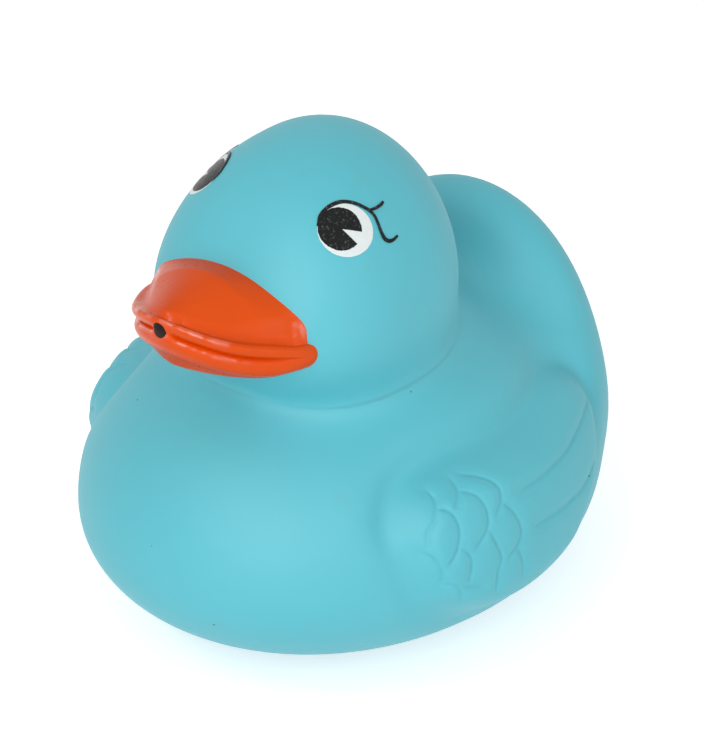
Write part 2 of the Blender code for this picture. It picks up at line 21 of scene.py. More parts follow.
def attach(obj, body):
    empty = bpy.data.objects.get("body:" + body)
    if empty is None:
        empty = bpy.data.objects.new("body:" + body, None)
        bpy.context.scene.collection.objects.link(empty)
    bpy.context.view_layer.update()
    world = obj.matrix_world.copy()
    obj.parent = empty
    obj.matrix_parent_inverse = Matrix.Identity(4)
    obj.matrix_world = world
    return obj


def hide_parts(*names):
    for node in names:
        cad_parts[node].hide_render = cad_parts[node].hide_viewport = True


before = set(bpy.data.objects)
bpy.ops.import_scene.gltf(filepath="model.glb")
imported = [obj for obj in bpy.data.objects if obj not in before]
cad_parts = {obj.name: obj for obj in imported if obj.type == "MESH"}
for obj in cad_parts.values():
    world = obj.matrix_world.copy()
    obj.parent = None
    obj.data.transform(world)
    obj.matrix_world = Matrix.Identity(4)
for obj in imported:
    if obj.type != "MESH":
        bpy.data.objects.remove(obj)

Triple = tuple[float, float, float]
Pair = tuple[float, float]
Quad = tuple[float, float, float, float]
Value = Callable[[np.ndarray], np.ndarray]

NODE = "duck"
BODY = "root"
LOG = logging.getLogger("rubber_duck")


class Side(Enum):
    """Side of the duck, with the sign of x there."""

    LEFT = 1
    RIGHT = -1


class Ink(Enum):
    """Inks of the printed eyes."""

    WHITE = "white_ink"
    BLACK = "black_ink"


def smooth_step(value: np.ndarray) -> np.ndarray:
    """Ease a value from 0 to 1 with level ends."""
    part = np.clip(value, 0.0, 1.0)
    return part * part * (3.0 - 2.0 * part)


def smooth_union(first: np.ndarray, second: np.ndarray, blend) -> np.ndarray:
    """Join two distance-like values with a fillet.

    Args:
        first: Values of the one form.
        second: Values of the other form.
        blend: Width of the fillet, one number or one for each value.

    Returns:
        Values of both forms in one.
    """
    near = np.maximum(blend - np.abs(first - second), 0.0) / blend
    return np.minimum(first, second) - near ** 3 * blend / 6.0


def catmull(around: list[np.ndarray], part: float) -> np.ndarray:
    """Give a point of the smooth curve between the middle two of four points.

    Args:
        around: Four points in order.
        part: Share of the way from the second to the third.

    Returns:
        The point on the curve.
    """
    before, start, end, after = around
    bend = 2.0 * before - 5.0 * start + 4.0 * end - after
    twist = -before + 3.0 * start - 3.0 * end + after
    return start + 0.5 * part * ((end - before) + part * (bend + part * twist))


def smooth_path(points: tuple, step: float) -> np.ndarray:
    """Lay a smooth curve through a few points.

    Args:
        points: Given points, in any number of coordinates.
        step: Distance between two points of the result.

    Returns:
        Points along the curve, one row each.
    """
    given = [np.array(point) for point in points]
    ends = [2.0 * given[0] - given[1]] + given + [2.0 * given[-1] - given[-2]]
    path = []
    for index in range(len(given) - 1):
        run = float(np.linalg.norm(given[index + 1] - given[index]))
        steps = max(1, round(run / step))
        path += [catmull(ends[index:index + 4], turn / steps) for turn in range(steps)]
    return np.array(path + [given[-1]])


def slope_of(value: Value, points: np.ndarray) -> np.ndarray:
    """Give the gradient of a value by small central steps."""
    step = 2e-5
    slope = np.zeros_like(points)
    for axis in range(3):
        shift = np.zeros(3)
        shift[axis] = step
        slope[..., axis] = (value(points + shift) - value(points - shift)) / (2.0 * step)
    return slope


def pull_onto(value: Value, points: np.ndarray, rounds: int = 5) -> np.ndarray:
    """Move points along the gradient until the value is zero there."""
    for _ in range(rounds):
        slope = slope_of(value, points)
        points = points - slope * (value(points) / (slope ** 2).sum(-1))[:, None]
    return points


def outward_of(value: Value, points: np.ndarray) -> np.ndarray:
    """Give the outward direction of a form at points on it."""
    slope = slope_of(value, points)
    return slope / np.linalg.norm(slope, axis=1)[:, None]


def link_object(name: str, data: bpy.types.ID) -> bpy.types.Object:
    """Put a mesh, lamp or camera into the scene as an object at the origin."""
    item = bpy.data.objects.new(name, data)
    bpy.context.scene.collection.objects.link(item)
    return item


def mesh_of(work: bmesh.types.BMesh, name: str) -> bpy.types.Mesh:
    """Turn finished work into a new mesh."""
    mesh = bpy.data.meshes.new(name)
    work.to_mesh(mesh)
    work.free()
    return mesh


def mesh_from(name: str, verts: np.ndarray, faces: list) -> bpy.types.Mesh:
    """Make a smooth shaded closed mesh whose faces point outwards.

    Args:
        name: Name of the mesh.
        verts: Places of the vertices.
        faces: Vertex numbers of each face.

    Returns:
        The mesh.
    """
    work = bmesh.new()
    made = [work.verts.new(tuple(spot)) for spot in verts]
    for face in faces:
        work.faces.new([made[number] for number in face])
    bmesh.ops.recalc_face_normals(work, faces=work.faces)
    mesh = mesh_of(work, name)
    mesh.polygons.foreach_set("use_smooth", [True] * len(mesh.polygons))
    return mesh


def coords_of(mesh: bpy.types.Mesh) -> np.ndarray:
    """Read the vertices of a mesh, one row each."""
    flat = np.empty(len(mesh.vertices) * 3)
    mesh.vertices.foreach_get("co", flat)
    return flat.reshape(-1, 3)


def write_coords(mesh: bpy.types.Mesh, points: np.ndarray) -> None:
    """Write the vertices of a mesh back."""
    mesh.vertices.foreach_set("co", points.ravel())
    mesh.update()


def bake(item: bpy.types.Object) -> None:
    """Turn an object with modifiers into a plain mesh and take the modifiers off."""
    depsgraph = bpy.context.evaluated_depsgraph_get()
    baked = bpy.data.meshes.new_from_object(item.evaluated_get(depsgraph))
    item.modifiers.clear()
    item.data = baked


def hand_in(item: bpy.types.Object) -> None:
    """Hang a finished piece on the duck's body and report it."""
    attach(item, BODY)
    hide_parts(NODE)
    item.data.calc_loop_triangles()
    LOG.info("piece %s: %d triangles", item.name, len(item.data.loop_triangles))


# Smooth form of the duck


@dataclass(frozen=True)
class Egg:
    """Egg whose radii differ on the two sides of its centre."""

    centre: Triple
    minus: Triple
    plus: Triple

    def value(self, points: np.ndarray) -> np.ndarray:
        """Give a distance-like value, below zero inside the egg."""
        offset = points - np.asarray(self.centre)
        radii = np.where(offset < 0, self.minus, self.plus)
        scaled = offset / radii
        reach = np.sqrt((scaled ** 2).sum(-1)) + 1e-12
        slope = np.sqrt(((scaled / radii) ** 2).sum(-1)) + 1e-12
        return reach * (reach - 1.0) / slope


@dataclass(frozen=True)
class DuckForm:
    """Body, tail and head blended into one smooth form on a nearly flat base."""

    body: Egg = Egg((0.0, 0.0001, 0.0197), (0.0377, 0.0447, 0.0213), (0.0377, 0.0430, 0.0292))
    base_blend: float = 0.008
    base_sink: float = 0.0008
    tail_centre: Triple = (0.0, 0.0309, 0.0280)
    tail: Egg = Egg((0.0, 0.0, 0.0), (0.0243, 0.0110, 0.0220), (0.0243, 0.0110, 0.0284))
    tail_lean: float = math.radians(2.35)
    tail_blend: float = 0.014
    head: Egg = Egg((0.0, -0.0055, 0.0563), (0.0212, 0.0240, 0.0228), (0.0212, 0.0194, 0.0227))
    head_taper: float = 0.075
    head_lean: float = 0.069
    cheek_power: float = 2.7
    chin_below: float = 0.0158
    chin_span: float = 0.0210
    neck_blend: float = 0.009
    saddle_blend: float = 0.016
    saddle_span: Pair = (0.0014, 0.0154)
    saddle_centre: Triple = (0.0, 0.0170, 0.0410)
    saddle_radii: Triple = (0.0190, 0.0130, 0.0110)

    def tail_value(self, points: np.ndarray) -> np.ndarray:
        """Give the value of the leaning tail blade."""
        offset = points - np.asarray(self.tail_centre)
        turned = offset.copy()
        lean = self.tail_lean
        turned[..., 1] = offset[..., 1] * math.cos(lean) - offset[..., 2] * math.sin(lean)
        turned[..., 2] = offset[..., 1] * math.sin(lean) + offset[..., 2] * math.cos(lean)
        return self.tail.value(turned)

    def head_value(self, points: np.ndarray) -> np.ndarray:
        """Give the value of the head, with full cheeks in front, narrower towards the crown."""
        centre, minus, plus = self.head.centre, self.head.minus, self.head.plus
        rise = points[..., 2] - centre[2]
        narrow = 1.0 + self.head_taper * np.clip(rise / plus[2], -1.2, 1.2)
        forward = (points[..., 1] - centre[1] - self.head_lean * rise) * narrow
        chin = minus[2] + (self.chin_below - minus[2]) * smooth_step(-forward / self.chin_span)
        height = np.where(rise < 0.0, chin, plus[2])
        length = np.where(forward < 0.0, minus[1], plus[1])
        power = np.where(forward < 0.0, self.cheek_power, 2.0)
        across = np.abs(points[..., 0] * narrow) / plus[0] + 1e-6
        along = np.abs(forward) / length + 1e-6
        plan = across ** power + along ** power
        reach = np.sqrt(plan ** (2.0 / power) + (rise / height) ** 2)
        share = plan ** (2.0 / power - 1.0) / reach
        steep = (share * across ** (power - 1.0) / plus[0]) ** 2
        steep = steep + (share * along ** (power - 1.0) / length) ** 2
        steep = steep + (rise / (height * height * reach)) ** 2
        return (reach - 1.0) / np.sqrt(steep)

    def stand_value(self, points: np.ndarray) -> np.ndarray:
        """Give the value of body and tail in one, flattened below."""
        rump = smooth_union(self.body.value(points), self.tail_value(points), self.tail_blend)
        return -smooth_union(-rump, points[..., 2] + self.base_sink, self.base_blend)

    def value(self, points: np.ndarray) -> np.ndarray:
        """Give the value of the whole form without wings and bill."""
        start, end = self.saddle_span
        behind = smooth_step((points[..., 1] - start) / (end - start))
        blend = self.neck_blend + (self.saddle_blend - self.neck_blend) * behind
        return smooth_union(self.stand_value(points), self.head_value(points), blend)

    def seeds(self) -> list[tuple[Triple, Triple]]:
        """List centre and radii of the spheres that the skin starts from."""
        return [
            (self.body.centre, self.body.minus),
            (self.tail_centre, self.tail.plus),
            (self.head.centre, (self.head.minus[0], self.head.minus[1], self.head.plus[2])),
            (self.saddle_centre, self.saddle_radii),
        ]


# Wings


@dataclass(frozen=True)
class Wing:
    """Raised wing of a flank with its feather lines, drawn as (y, z) seen from the side."""

    outline: tuple[Pair, ...] = (
        (-0.0230, 0.0273), (-0.0218, 0.0314), (-0.0180, 0.0346), (-0.0115, 0.0359),
        (-0.0030, 0.0358), (0.0050, 0.0357), (0.0120, 0.0362), (0.0185, 0.0366),
        (0.0232, 0.0350), (0.0248, 0.0318), (0.0236, 0.0280), (0.0196, 0.0234),
        (0.0142, 0.0188), (0.0070, 0.0144), (-0.0015, 0.0120), (-0.0095, 0.0124),
        (-0.0162, 0.0150), (-0.0210, 0.0194),
    )
    raised_front: float = 0.0023
    raised_back: float = 0.0016
    thins: Pair = (-0.0080, 0.0120)
    sinks: Pair = (0.0060, 0.0185)
    sunk_share: float = 0.40
    valley: float = 0.0016
    valley_width: float = 0.0019
    valley_above: Pair = (0.0200, 0.0370)
    valley_front: float = 0.35
    valley_ahead: Pair = (-0.0060, -0.0140)
    edge: float = 0.0050
    toe: float = 0.12
    from_middle: float = 0.0120
    long_feathers: tuple = (
        ((-0.0037, 0.0302), (0.0010, 0.0301), (0.0054, 0.0303), (0.0102, 0.0306), (0.0147, 0.0311),
         (0.0191, 0.0315), (0.0222, 0.0319), (0.0236, 0.0330), (0.0226, 0.0345)),
        ((-0.0028, 0.0248), (0.0020, 0.0246), (0.0070, 0.0244), (0.0112, 0.0244), (0.0146, 0.0250),
         (0.0175, 0.0258)),
    )
    scale_feathers: tuple = (
        ((-0.0168, 0.0344), (-0.0167, 0.0334), (-0.0173, 0.0322), (-0.0187, 0.0305),
         (-0.0199, 0.0294), (-0.0206, 0.0276)),
        ((-0.0127, 0.0350), (-0.0128, 0.0342), (-0.0134, 0.0330), (-0.0145, 0.0319),
         (-0.0154, 0.0313)),
        ((-0.0110, 0.0350), (-0.0091, 0.0341), (-0.0076, 0.0328), (-0.0072, 0.0314),
         (-0.0078, 0.0300), (-0.0093, 0.0289)),
        ((-0.0132, 0.0333), (-0.0115, 0.0324), (-0.0106, 0.0309), (-0.0106, 0.0291),
         (-0.0114, 0.0276), (-0.0128, 0.0264), (-0.0143, 0.0256)),
        ((-0.0173, 0.0321), (-0.0161, 0.0315), (-0.0155, 0.0303), (-0.0155, 0.0288),
         (-0.0164, 0.0268), (-0.0176, 0.0253), (-0.0187, 0.0246)),
        ((-0.0076, 0.0299), (-0.0064, 0.0286), (-0.0056, 0.0267), (-0.0056, 0.0250),
         (-0.0068, 0.0236), (-0.0090, 0.0224)),
        ((-0.0112, 0.0272), (-0.0103, 0.0250), (-0.0099, 0.0229), (-0.0106, 0.0215),
         (-0.0109, 0.0200), (-0.0110, 0.0180)),
        ((-0.0161, 0.0264), (-0.0150, 0.0252), (-0.0150, 0.0233), (-0.0158, 0.0213)),
        ((-0.0214, 0.0268), (-0.0203, 0.0258), (-0.0196, 0.0240), (-0.0198, 0.0218)),
        ((-0.0170, 0.0210), (-0.0152, 0.0205), (-0.0132, 0.0201)),
        ((-0.0196, 0.0219), (-0.0179, 0.0214), (-0.0170, 0.0201), (-0.0170, 0.0180)),
        ((-0.0070, 0.0234), (-0.0061, 0.0213), (-0.0060, 0.0188)),
    )
    fade: float = 0.0012
    fade_height: float = 0.0003
    line_step: float = 0.0005
    curve_steps: int = 6
    batch: int = 20000

    def curve(self) -> np.ndarray:
        """Round the outline into a closed smooth curve."""
        count = len(self.outline)
        spots = []
        for index in range(count):
            around = [np.array(self.outline[(index + shift) % count]) for shift in (-1, 0, 1, 2)]
            spots += [catmull(around, step / self.curve_steps) for step in range(self.curve_steps)]
        return np.array(spots)

    def depth(self, points: np.ndarray) -> np.ndarray:
        """Give how far each point lies inside the outline, below zero outside it."""
        starts = self.curve()
        ends = np.roll(starts, -1, axis=0)
        runs = ends - starts
        result = np.empty(len(points))
        for first in range(0, len(points), self.batch):
            spots = points[first:first + self.batch, None, 1:]
            offset = spots - starts
            along = np.clip((offset * runs).sum(-1) / (runs ** 2).sum(-1), 0.0, 1.0)
            nearest = np.linalg.norm(offset - along[..., None] * runs, axis=-1).min(-1)
            height = spots[..., 1]
            crosses = (starts[:, 1] > height) != (ends[:, 1] > height)
            rise = np.where(np.abs(runs[:, 1]) > 1e-9, runs[:, 1], 1e-9)
            level = starts[:, 0] + (height - starts[:, 1]) * runs[:, 0] / rise
            inside = (crosses & (spots[..., 0] < level)).sum(-1) % 2 == 1
            result[first:first + self.batch] = np.where(inside, nearest, -nearest)
        return result

    def lift(self, points: np.ndarray) -> np.ndarray:
        """Give the height of the wing pad above the flank."""
        lifted = np.zeros(len(points))
        flank = np.abs(points[:, 0]) > self.from_middle
        start, end = self.thins
        behind = np.clip((points[flank, 1] - start) / (end - start), 0.0, 1.0)
        full = self.raised_front + (self.raised_back - self.raised_front) * behind
        low, high = self.sinks
        full = full * np.clip((points[flank, 2] - low) / (high - low), self.sunk_share, 1.0)
        depth = self.depth(points[flank])
        start, end = self.valley_above
        above = smooth_step((points[flank, 2] - start) / (end - start))
        start, end = self.valley_ahead
        ahead = smooth_step((points[flank, 1] - start) / (end - start))
        above = np.maximum(above, self.valley_front * ahead)
        beside = np.exp(-((depth + self.valley_width) / self.valley_width) ** 2)
        lifted[flank] = full * smooth_step(depth / self.edge + self.toe) - self.valley * above * beside
        return lifted

    def feather_lines(self, form: DuckForm, side: Side) -> list[np.ndarray]:
        """Lay the feather lines on one flank, rising off it at their ends so that they fade out.

        Args:
            form: Form that carries the wing.
            side: Flank to lay them on.

        Returns:
            Points of each line on the raised wing.
        """
        lines = []
        for given in self.long_feathers + self.scale_feathers:
            path = smooth_path(given, self.line_step)
            points = np.column_stack([np.full(len(path), side.value * form.body.plus[0]), path])
            for _ in range(10):
                points[:, 0] -= form.value(points) / slope_of(form.value, points)[:, 0]
            outward = outward_of(form.value, points)
            from_end = np.minimum(np.arange(len(path)), np.arange(len(path))[::-1]) * self.line_step
            off = self.fade_height * smooth_step(1.0 - from_end / self.fade)
            lines.append(points + outward * (self.lift(points) + off)[:, None])
        return lines


# Trees that press feather lines and lay ink strokes


class Tree:
    """Geometry Nodes tree that is built in steps."""

    def __init__(self, name: str) -> None:
        """Start an empty tree with a geometry input and output."""
        self.tree = bpy.data.node_groups.new(name, "GeometryNodeTree")
        self.sockets: dict[str, str] = {}
        self.add_input("Geometry", "NodeSocketGeometry")
        self.tree.interface.new_socket("Geometry", in_out="OUTPUT", socket_type="NodeSocketGeometry")
        self.source = self.tree.nodes.new("NodeGroupInput")
        self.sink = self.tree.nodes.new("NodeGroupOutput")

    def add_input(self, name: str, kind: str) -> None:
        """Add a named input and keep its identifier."""
        made = self.tree.interface.new_socket(name, in_out="INPUT", socket_type=kind)
        self.sockets[name] = made.identifier

    def node(self, kind: str, values: dict | None = None, **options) -> bpy.types.Node:
        """Add a node.

        Args:
            kind: Node type.
            values: Input name or number to a value or to the socket that feeds it.
            options: Properties of the node itself.

        Returns:
            The new node.
        """
        made = self.tree.nodes.new(kind)
        for key, value in options.items():
            setattr(made, key, value)
        for key, value in (values or {}).items():
            feed(self.tree, made.inputs[key], value)
        return made

    def given(self, name: str) -> bpy.types.NodeSocket:
        """Give the socket of a named input."""
        return self.source.outputs[name]

    def end_with(self, geometry: bpy.types.NodeSocket, material: bpy.types.NodeSocket) -> None:
        """End the tree in Realize Instances and Set Material."""
        real = self.node("GeometryNodeRealizeInstances", {"Geometry": geometry})
        smooth = self.node("GeometryNodeSetShadeSmooth", {"Geometry": real.outputs[0]})
        painted = self.node("GeometryNodeSetMaterial",
                            {"Geometry": smooth.outputs[0], "Material": material})
        self.tree.links.new(painted.outputs[0], self.sink.inputs[0])

    def put_on(self, item: bpy.types.Object, values: dict) -> None:
        """Apply the tree to an object with these input values, and bake it."""
        change = item.modifiers.new(self.tree.name, "NODES")
        change.node_group = self.tree
        for name, value in values.items():
            change[self.sockets[name]] = value
        bake(item)


def groove_tree() -> Tree:
    """Make the tree that presses soft lines into a skin along guide edges."""
    made = Tree("pressed_lines")
    made.add_input("Guide Lines", "NodeSocketObject")
    for name in ("Line Width", "Line Depth", "Pillow Width", "Pillow Depth"):
        made.add_input(name, "NodeSocketFloat")
    made.add_input("Finish", "NodeSocketMaterial")
    guide = made.node("GeometryNodeObjectInfo", {"Object": made.given("Guide Lines")},
                      transform_space="RELATIVE")
    near = made.node("GeometryNodeProximity", {"Target": guide.outputs["Geometry"]},
                     target_element="EDGES")
    near_out = near.outputs["Distance"]
    dips = []
    for width, depth in (("Line Width", "Line Depth"), ("Pillow Width", "Pillow Depth")):
        half = made.node("ShaderNodeMath", {0: made.given(width), 1: 0.5}, operation="MULTIPLY")
        dip = made.node("ShaderNodeMapRange", {0: near_out, 1: 0.0, 2: half.outputs[0], 3: 1.0, 4: 0.0},
                        interpolation_type="SMOOTHSTEP")
        scaled = made.node("ShaderNodeMath", {0: dip.outputs[0], 1: made.given(depth)},
                           operation="MULTIPLY")
        dips.append(scaled.outputs[0])
    total = made.node("ShaderNodeMath", {0: dips[0], 1: dips[1]}, operation="ADD")
    inward = made.node("ShaderNodeMath", {0: total.outputs[0], 1: -1.0}, operation="MULTIPLY")
    normal = made.node("GeometryNodeInputNormal")
    offset = made.node("ShaderNodeVectorMath",
                       {0: normal.outputs["Normal"], "Scale": inward.outputs[0]}, operation="SCALE")
    pressed = made.node("GeometryNodeSetPosition",
                        {"Geometry": made.given("Geometry"), "Offset": offset.outputs[0]})
    made.end_with(pressed.outputs[0], made.given("Finish"))
    return made


def stroke_tree() -> Tree:
    """Make the tree that lays flat ink strokes along guide edges."""
    made = Tree("ink_strokes")
    made.add_input("Stroke Width", "NodeSocketFloat")
    made.add_input("Ink Height", "NodeSocketFloat")
    made.add_input("Finish", "NodeSocketMaterial")
    outward = made.node("GeometryNodeInputNamedAttribute", {"Name": "outward"}, data_type="FLOAT_VECTOR")
    share = made.node("GeometryNodeInputNamedAttribute", {"Name": "share"}, data_type="FLOAT")
    path = made.node("GeometryNodeMeshToCurve", {"Mesh": made.given("Geometry")})
    turned = made.node("GeometryNodeSetCurveNormal",
                       {"Curve": path.outputs[0], "Normal": outward.outputs["Attribute"]}, mode="FREE")
    pen = made.node("GeometryNodeCurvePrimitiveQuadrilateral",
                    {"Width": made.given("Ink Height"), "Height": made.given("Stroke Width")})
    swept = made.node("GeometryNodeCurveToMesh",
                      {"Curve": turned.outputs[0], "Profile Curve": pen.outputs[0],
                       "Scale": share.outputs["Attribute"], "Fill Caps": True})
    made.end_with(swept.outputs[0], made.given("Finish"))
    return made


def guide_mesh(name: str, lines: list[np.ndarray]) -> bpy.types.Object:
    """Make an object of loose edges along lines."""
    verts, edges = [], []
    for line in lines:
        first = len(verts)
        verts += [tuple(spot) for spot in line]
        edges += [(first + step, first + step + 1) for step in range(len(line) - 1)]
    mesh = bpy.data.meshes.new(name)
    mesh.from_pydata(verts, edges, [])
    return link_object(name, mesh)


# Skin


@dataclass
class Moulding:
    """Skin of body, tail, head and wings."""

    form: DuckForm
    wing: Wing
    voxel: float = 0.0011
    rounds: int = 6
    wing_cuts: int = 3
    line_width: float = 0.0009
    line_depth: float = 0.00026
    pillow_width: float = 0.0036
    pillow_depth: float = 0.00018
    wing_margin: float = 0.0035
    crease_share: float = 0.8

    def merged(self) -> bpy.types.Object:
        """Merge a sphere for each egg into one closed skin of even faces."""
        work = bmesh.new()
        for centre, radii in self.form.seeds():
            place = Matrix.Translation(centre) @ Matrix.Diagonal((*radii, 1.0))
            bmesh.ops.create_uvsphere(work, u_segments=64, v_segments=48, radius=1.0, matrix=place)
        skin = link_object("duck_skin", mesh_of(work, "duck_skin"))
        merge = skin.modifiers.new("merge", "REMESH")
        merge.mode = "VOXEL"
        merge.voxel_size = self.voxel
        bake(skin)
        return skin

    def settle(self, mesh: bpy.types.Mesh) -> None:
        """Pull every vertex onto the smooth form, and none below the floor."""
        points = pull_onto(self.form.value, coords_of(mesh))
        points[:, 2] = np.maximum(points[:, 2], 0.0)
        write_coords(mesh, points)

    def even_out(self, mesh: bpy.types.Mesh) -> None:
        """Slide every vertex half way to the middle of its neighbours."""
        work = bmesh.new()
        work.from_mesh(mesh)
        bmesh.ops.smooth_vert(work, verts=work.verts, factor=0.5, use_axis_x=True,
                              use_axis_y=True, use_axis_z=True)
        work.to_mesh(mesh)
        work.free()

    def split_near(self, mesh: bpy.types.Mesh, wanted: Callable, cuts: int) -> None:
        """Split the edges whose middles are wanted."""
        work = bmesh.new()
        work.from_mesh(mesh)
        work.edges.ensure_lookup_table()
        middles = np.array([(edge.verts[0].co + edge.verts[1].co) / 2.0 for edge in work.edges])
        chosen = [work.edges[index] for index in np.nonzero(wanted(middles))[0]]
        bmesh.ops.subdivide_edges(work, edges=chosen, cuts=cuts, use_grid_fill=True)
        bmesh.ops.triangulate(work, faces=[face for face in work.faces if len(face.verts) > 4])
        work.to_mesh(mesh)
        work.free()

    def on_wing(self, points: np.ndarray) -> np.ndarray:
        """Pick the points on a wing or close to its edge."""
        wanted = np.abs(points[:, 0]) > self.wing.from_middle
        wanted[wanted] = self.wing.depth(points[wanted]) > -self.wing_margin
        return wanted

    def in_crease(self, points: np.ndarray) -> np.ndarray:
        """Pick the points in the crease of the neck."""
        apart = np.abs(self.form.head_value(points) - self.form.stand_value(points))
        return apart < self.form.neck_blend * self.crease_share

    def build(self, vinyl: bpy.types.Material) -> None:
        """Make the skin with raised wings and pressed feather lines, in this finish."""
        skin = self.merged()
        for _ in range(self.rounds):
            self.settle(skin.data)
            self.even_out(skin.data)
        self.settle(skin.data)
        self.split_near(skin.data, self.in_crease, 1)
        self.split_near(skin.data, self.on_wing, self.wing_cuts)
        self.settle(skin.data)
        points = coords_of(skin.data)
        outward = outward_of(self.form.value, points)
        write_coords(skin.data, points + outward * self.wing.lift(points)[:, None])
        lines = self.wing.feather_lines(self.form, Side.LEFT)
        lines += self.wing.feather_lines(self.form, Side.RIGHT)
        guide = guide_mesh("feather_guides", lines)
        groove_tree().put_on(skin, {
            "Guide Lines": guide, "Line Width": self.line_width, "Line Depth": self.line_depth,
            "Pillow Width": self.pillow_width, "Pillow Depth": self.pillow_depth, "Finish": vinyl,
        })
        bpy.data.objects.remove(guide)
        hand_in(skin)


# Bill


@dataclass
class Bill:
    """Half oval bill with a rolled lip above and below the mouth line, and its squirt hole."""

    half_width: float = 0.0145
    root: float = -0.0248
    reach: float = 0.0158
    sunk: float = 0.0085
    power: float = 1.83
    flare: float = 0.090
    flare_span: float = 0.0090
    mouth_root: float = 0.0554
    mouth_rise: float = 0.0015
    mouth_flick: float = 0.0037
    ridge_root: float = 0.0670
    ridge_slope: float = 0.288
    ridge_most: float = 0.0094
    arch_power: float = 0.42
    fillet: float = 0.0030
    hollow_power: float = 1.9
    jaw_root: float = 0.0064
    jaw_tip: float = 0.0047
    lip_upper: float = 0.0010
    lip_lower: float = 0.0017
    lip_setback: float = 0.0003
    lip_from: float = math.radians(-62.0)
    crease: float = 0.00022
    tip_flat: float = 0.16
    corner_from: float = math.radians(58.0)
    corner_to: float = math.radians(88.0)
    corner_rise: float = 0.24
    hole_radius: float = 0.00118
    hole_ahead: float = 0.003
    hole_back: Triple = (0.0, -0.0308, 0.0597)
    tip_share: float = 0.97
    root_fade: Pair = (0.70, 0.25)
    jaw_power: float = 0.7
    paint_rim: Pair = (0.86, 0.06)
    paint_ends: Pair = (0.0085, 0.0030)
    crest_upper: Pair = (1.55, 0.00040)
    crest_lower: Pair = (0.45, 0.00042)
    cheek_share: float = 0.7
    cheek_across: Pair = (0.0110, 0.0020)
    cheek_back: Pair = (0.0040, 0.0020)
    cheek_height: Pair = (0.0040, 0.0018)
    columns: int = 256
    jaw_rows: int = 16
    lip_rows: int = 18
    top_rows: int = 32

    def mouth_height(self, side: np.ndarray) -> np.ndarray:
        """Give the height of the mouth line: it rises forward and flicks up at the tip."""
        part = np.clip((self.root - side) / self.reach, -0.5, 1.0)
        return self.mouth_root + self.mouth_rise * part + self.mouth_flick * np.maximum(part, 0.0) ** 3

    def plan(self, turn: np.ndarray, inset: np.ndarray, share: float) -> tuple[np.ndarray, np.ndarray]:
        """Give x and y at a turn round the plan, drawn in by an inset and scaled by a share."""
        aside = np.sign(np.sin(turn)) * np.abs(np.sin(turn)) ** (2.0 / self.power)
        ahead = np.sign(np.cos(turn)) * np.abs(np.cos(turn)) ** (2.0 / self.power)
        length = np.where(ahead > 0.0, self.reach, self.sunk)
        side = self.root - (length - inset) * share * ahead
        across = (self.half_width - inset) * share * aside * self.flared(side)
        return across, side

    def flared(self, side: np.ndarray) -> np.ndarray:
        """Give how much wider the bill gets towards the cheeks."""
        return 1.0 + self.flare * smooth_step((side - self.root + self.flare_span) / self.flare_span)

    def around(self, turn: np.ndarray) -> np.ndarray:
        """Give how far round from the tip a turn is, from 0 to pi."""
        return np.abs(np.arctan2(np.sin(turn), np.cos(turn)))

    def corner(self, turn: np.ndarray) -> np.ndarray:
        """Give how far the lips have merged: 0 at the front, 1 at the corners of the mouth."""
        return smooth_step((self.around(turn) - self.corner_from) / (self.corner_to - self.corner_from))

    def back_share(self, side: np.ndarray) -> np.ndarray:
        """Give the place along the bill: 0 at the tip, 1 at the root."""
        return np.clip((side - self.root + self.reach) / self.reach, 0.0, 1.0)

    def lip_row(self, turn: np.ndarray, upper: bool, angle: float | None) -> np.ndarray:
        """Give one row round a lip.

        Args:
            turn: Places round the plan.
            upper: True for the upper lip.
            angle: Angle round the roll of the lip, or None for the mouth line.

        Returns:
            Points of the row.
        """
        radius = self.lip_upper if upper else self.lip_lower
        setback = 0.0 if upper else self.lip_setback
        merged = self.corner(turn)
        if angle is None:
            deepest = self.lip_upper * (1.0 - math.cos(self.lip_from)) + self.crease
            inset = np.full_like(turn, deepest)
            rise = np.zeros_like(turn)
        else:
            inset = np.full_like(turn, setback + radius * (1.0 - math.cos(angle)))
            rise = np.full_like(turn, radius * (1.0 + math.sin(angle)))
        if angle is None or angle < 0.0:
            inset = inset * (1.0 - self.tip_share * np.exp(-(self.around(turn) / self.tip_flat) ** 4))
        level = rise / (2.0 * radius)
        arc = (setback + radius) * (1.0 - np.sqrt(np.maximum(1.0 - level ** 2, 0.0)))
        inset = inset + (arc - inset) * merged
        rise = rise * (1.0 - self.corner_rise * merged)
        across, side = self.plan(turn, inset, 1.0)
        base = self.mouth_height(side)
        return np.column_stack([across, side, base + rise if upper else base - rise])

    def top_row(self, turn: np.ndarray, share: float) -> np.ndarray:
        """Give one row of the upper side, arched at the root and hollow-flanked at the tip."""
        inset = np.full_like(turn, self.lip_upper)
        across, side = self.plan(turn, inset, share)
        lip = 2.0 * self.lip_upper * (1.0 - self.corner_rise * self.corner(turn))
        ridge = self.ridge_root + self.ridge_slope * (side - self.root) - self.mouth_height(side)
        ridge = np.clip(ridge, 2.0 * self.lip_upper, self.ridge_most)
        back = self.back_share(side)
        half = (self.half_width - self.lip_upper) * self.widths(side, self.lip_upper)
        beside = np.clip(np.abs(across) / np.maximum(half, 1e-6), 0.0, 1.0)
        bend = self.hollow_power + (self.arch_power - self.hollow_power) * back
        soft = smooth_step((1.0 - beside) * half / self.fillet)
        soft = soft + (1.0 - soft) * smooth_step((back - self.root_fade[0]) / self.root_fade[1])
        rise = lip + (ridge - lip) * (1.0 - beside ** 2) ** bend * soft
        return np.column_stack([across, side, self.mouth_height(side) + rise])

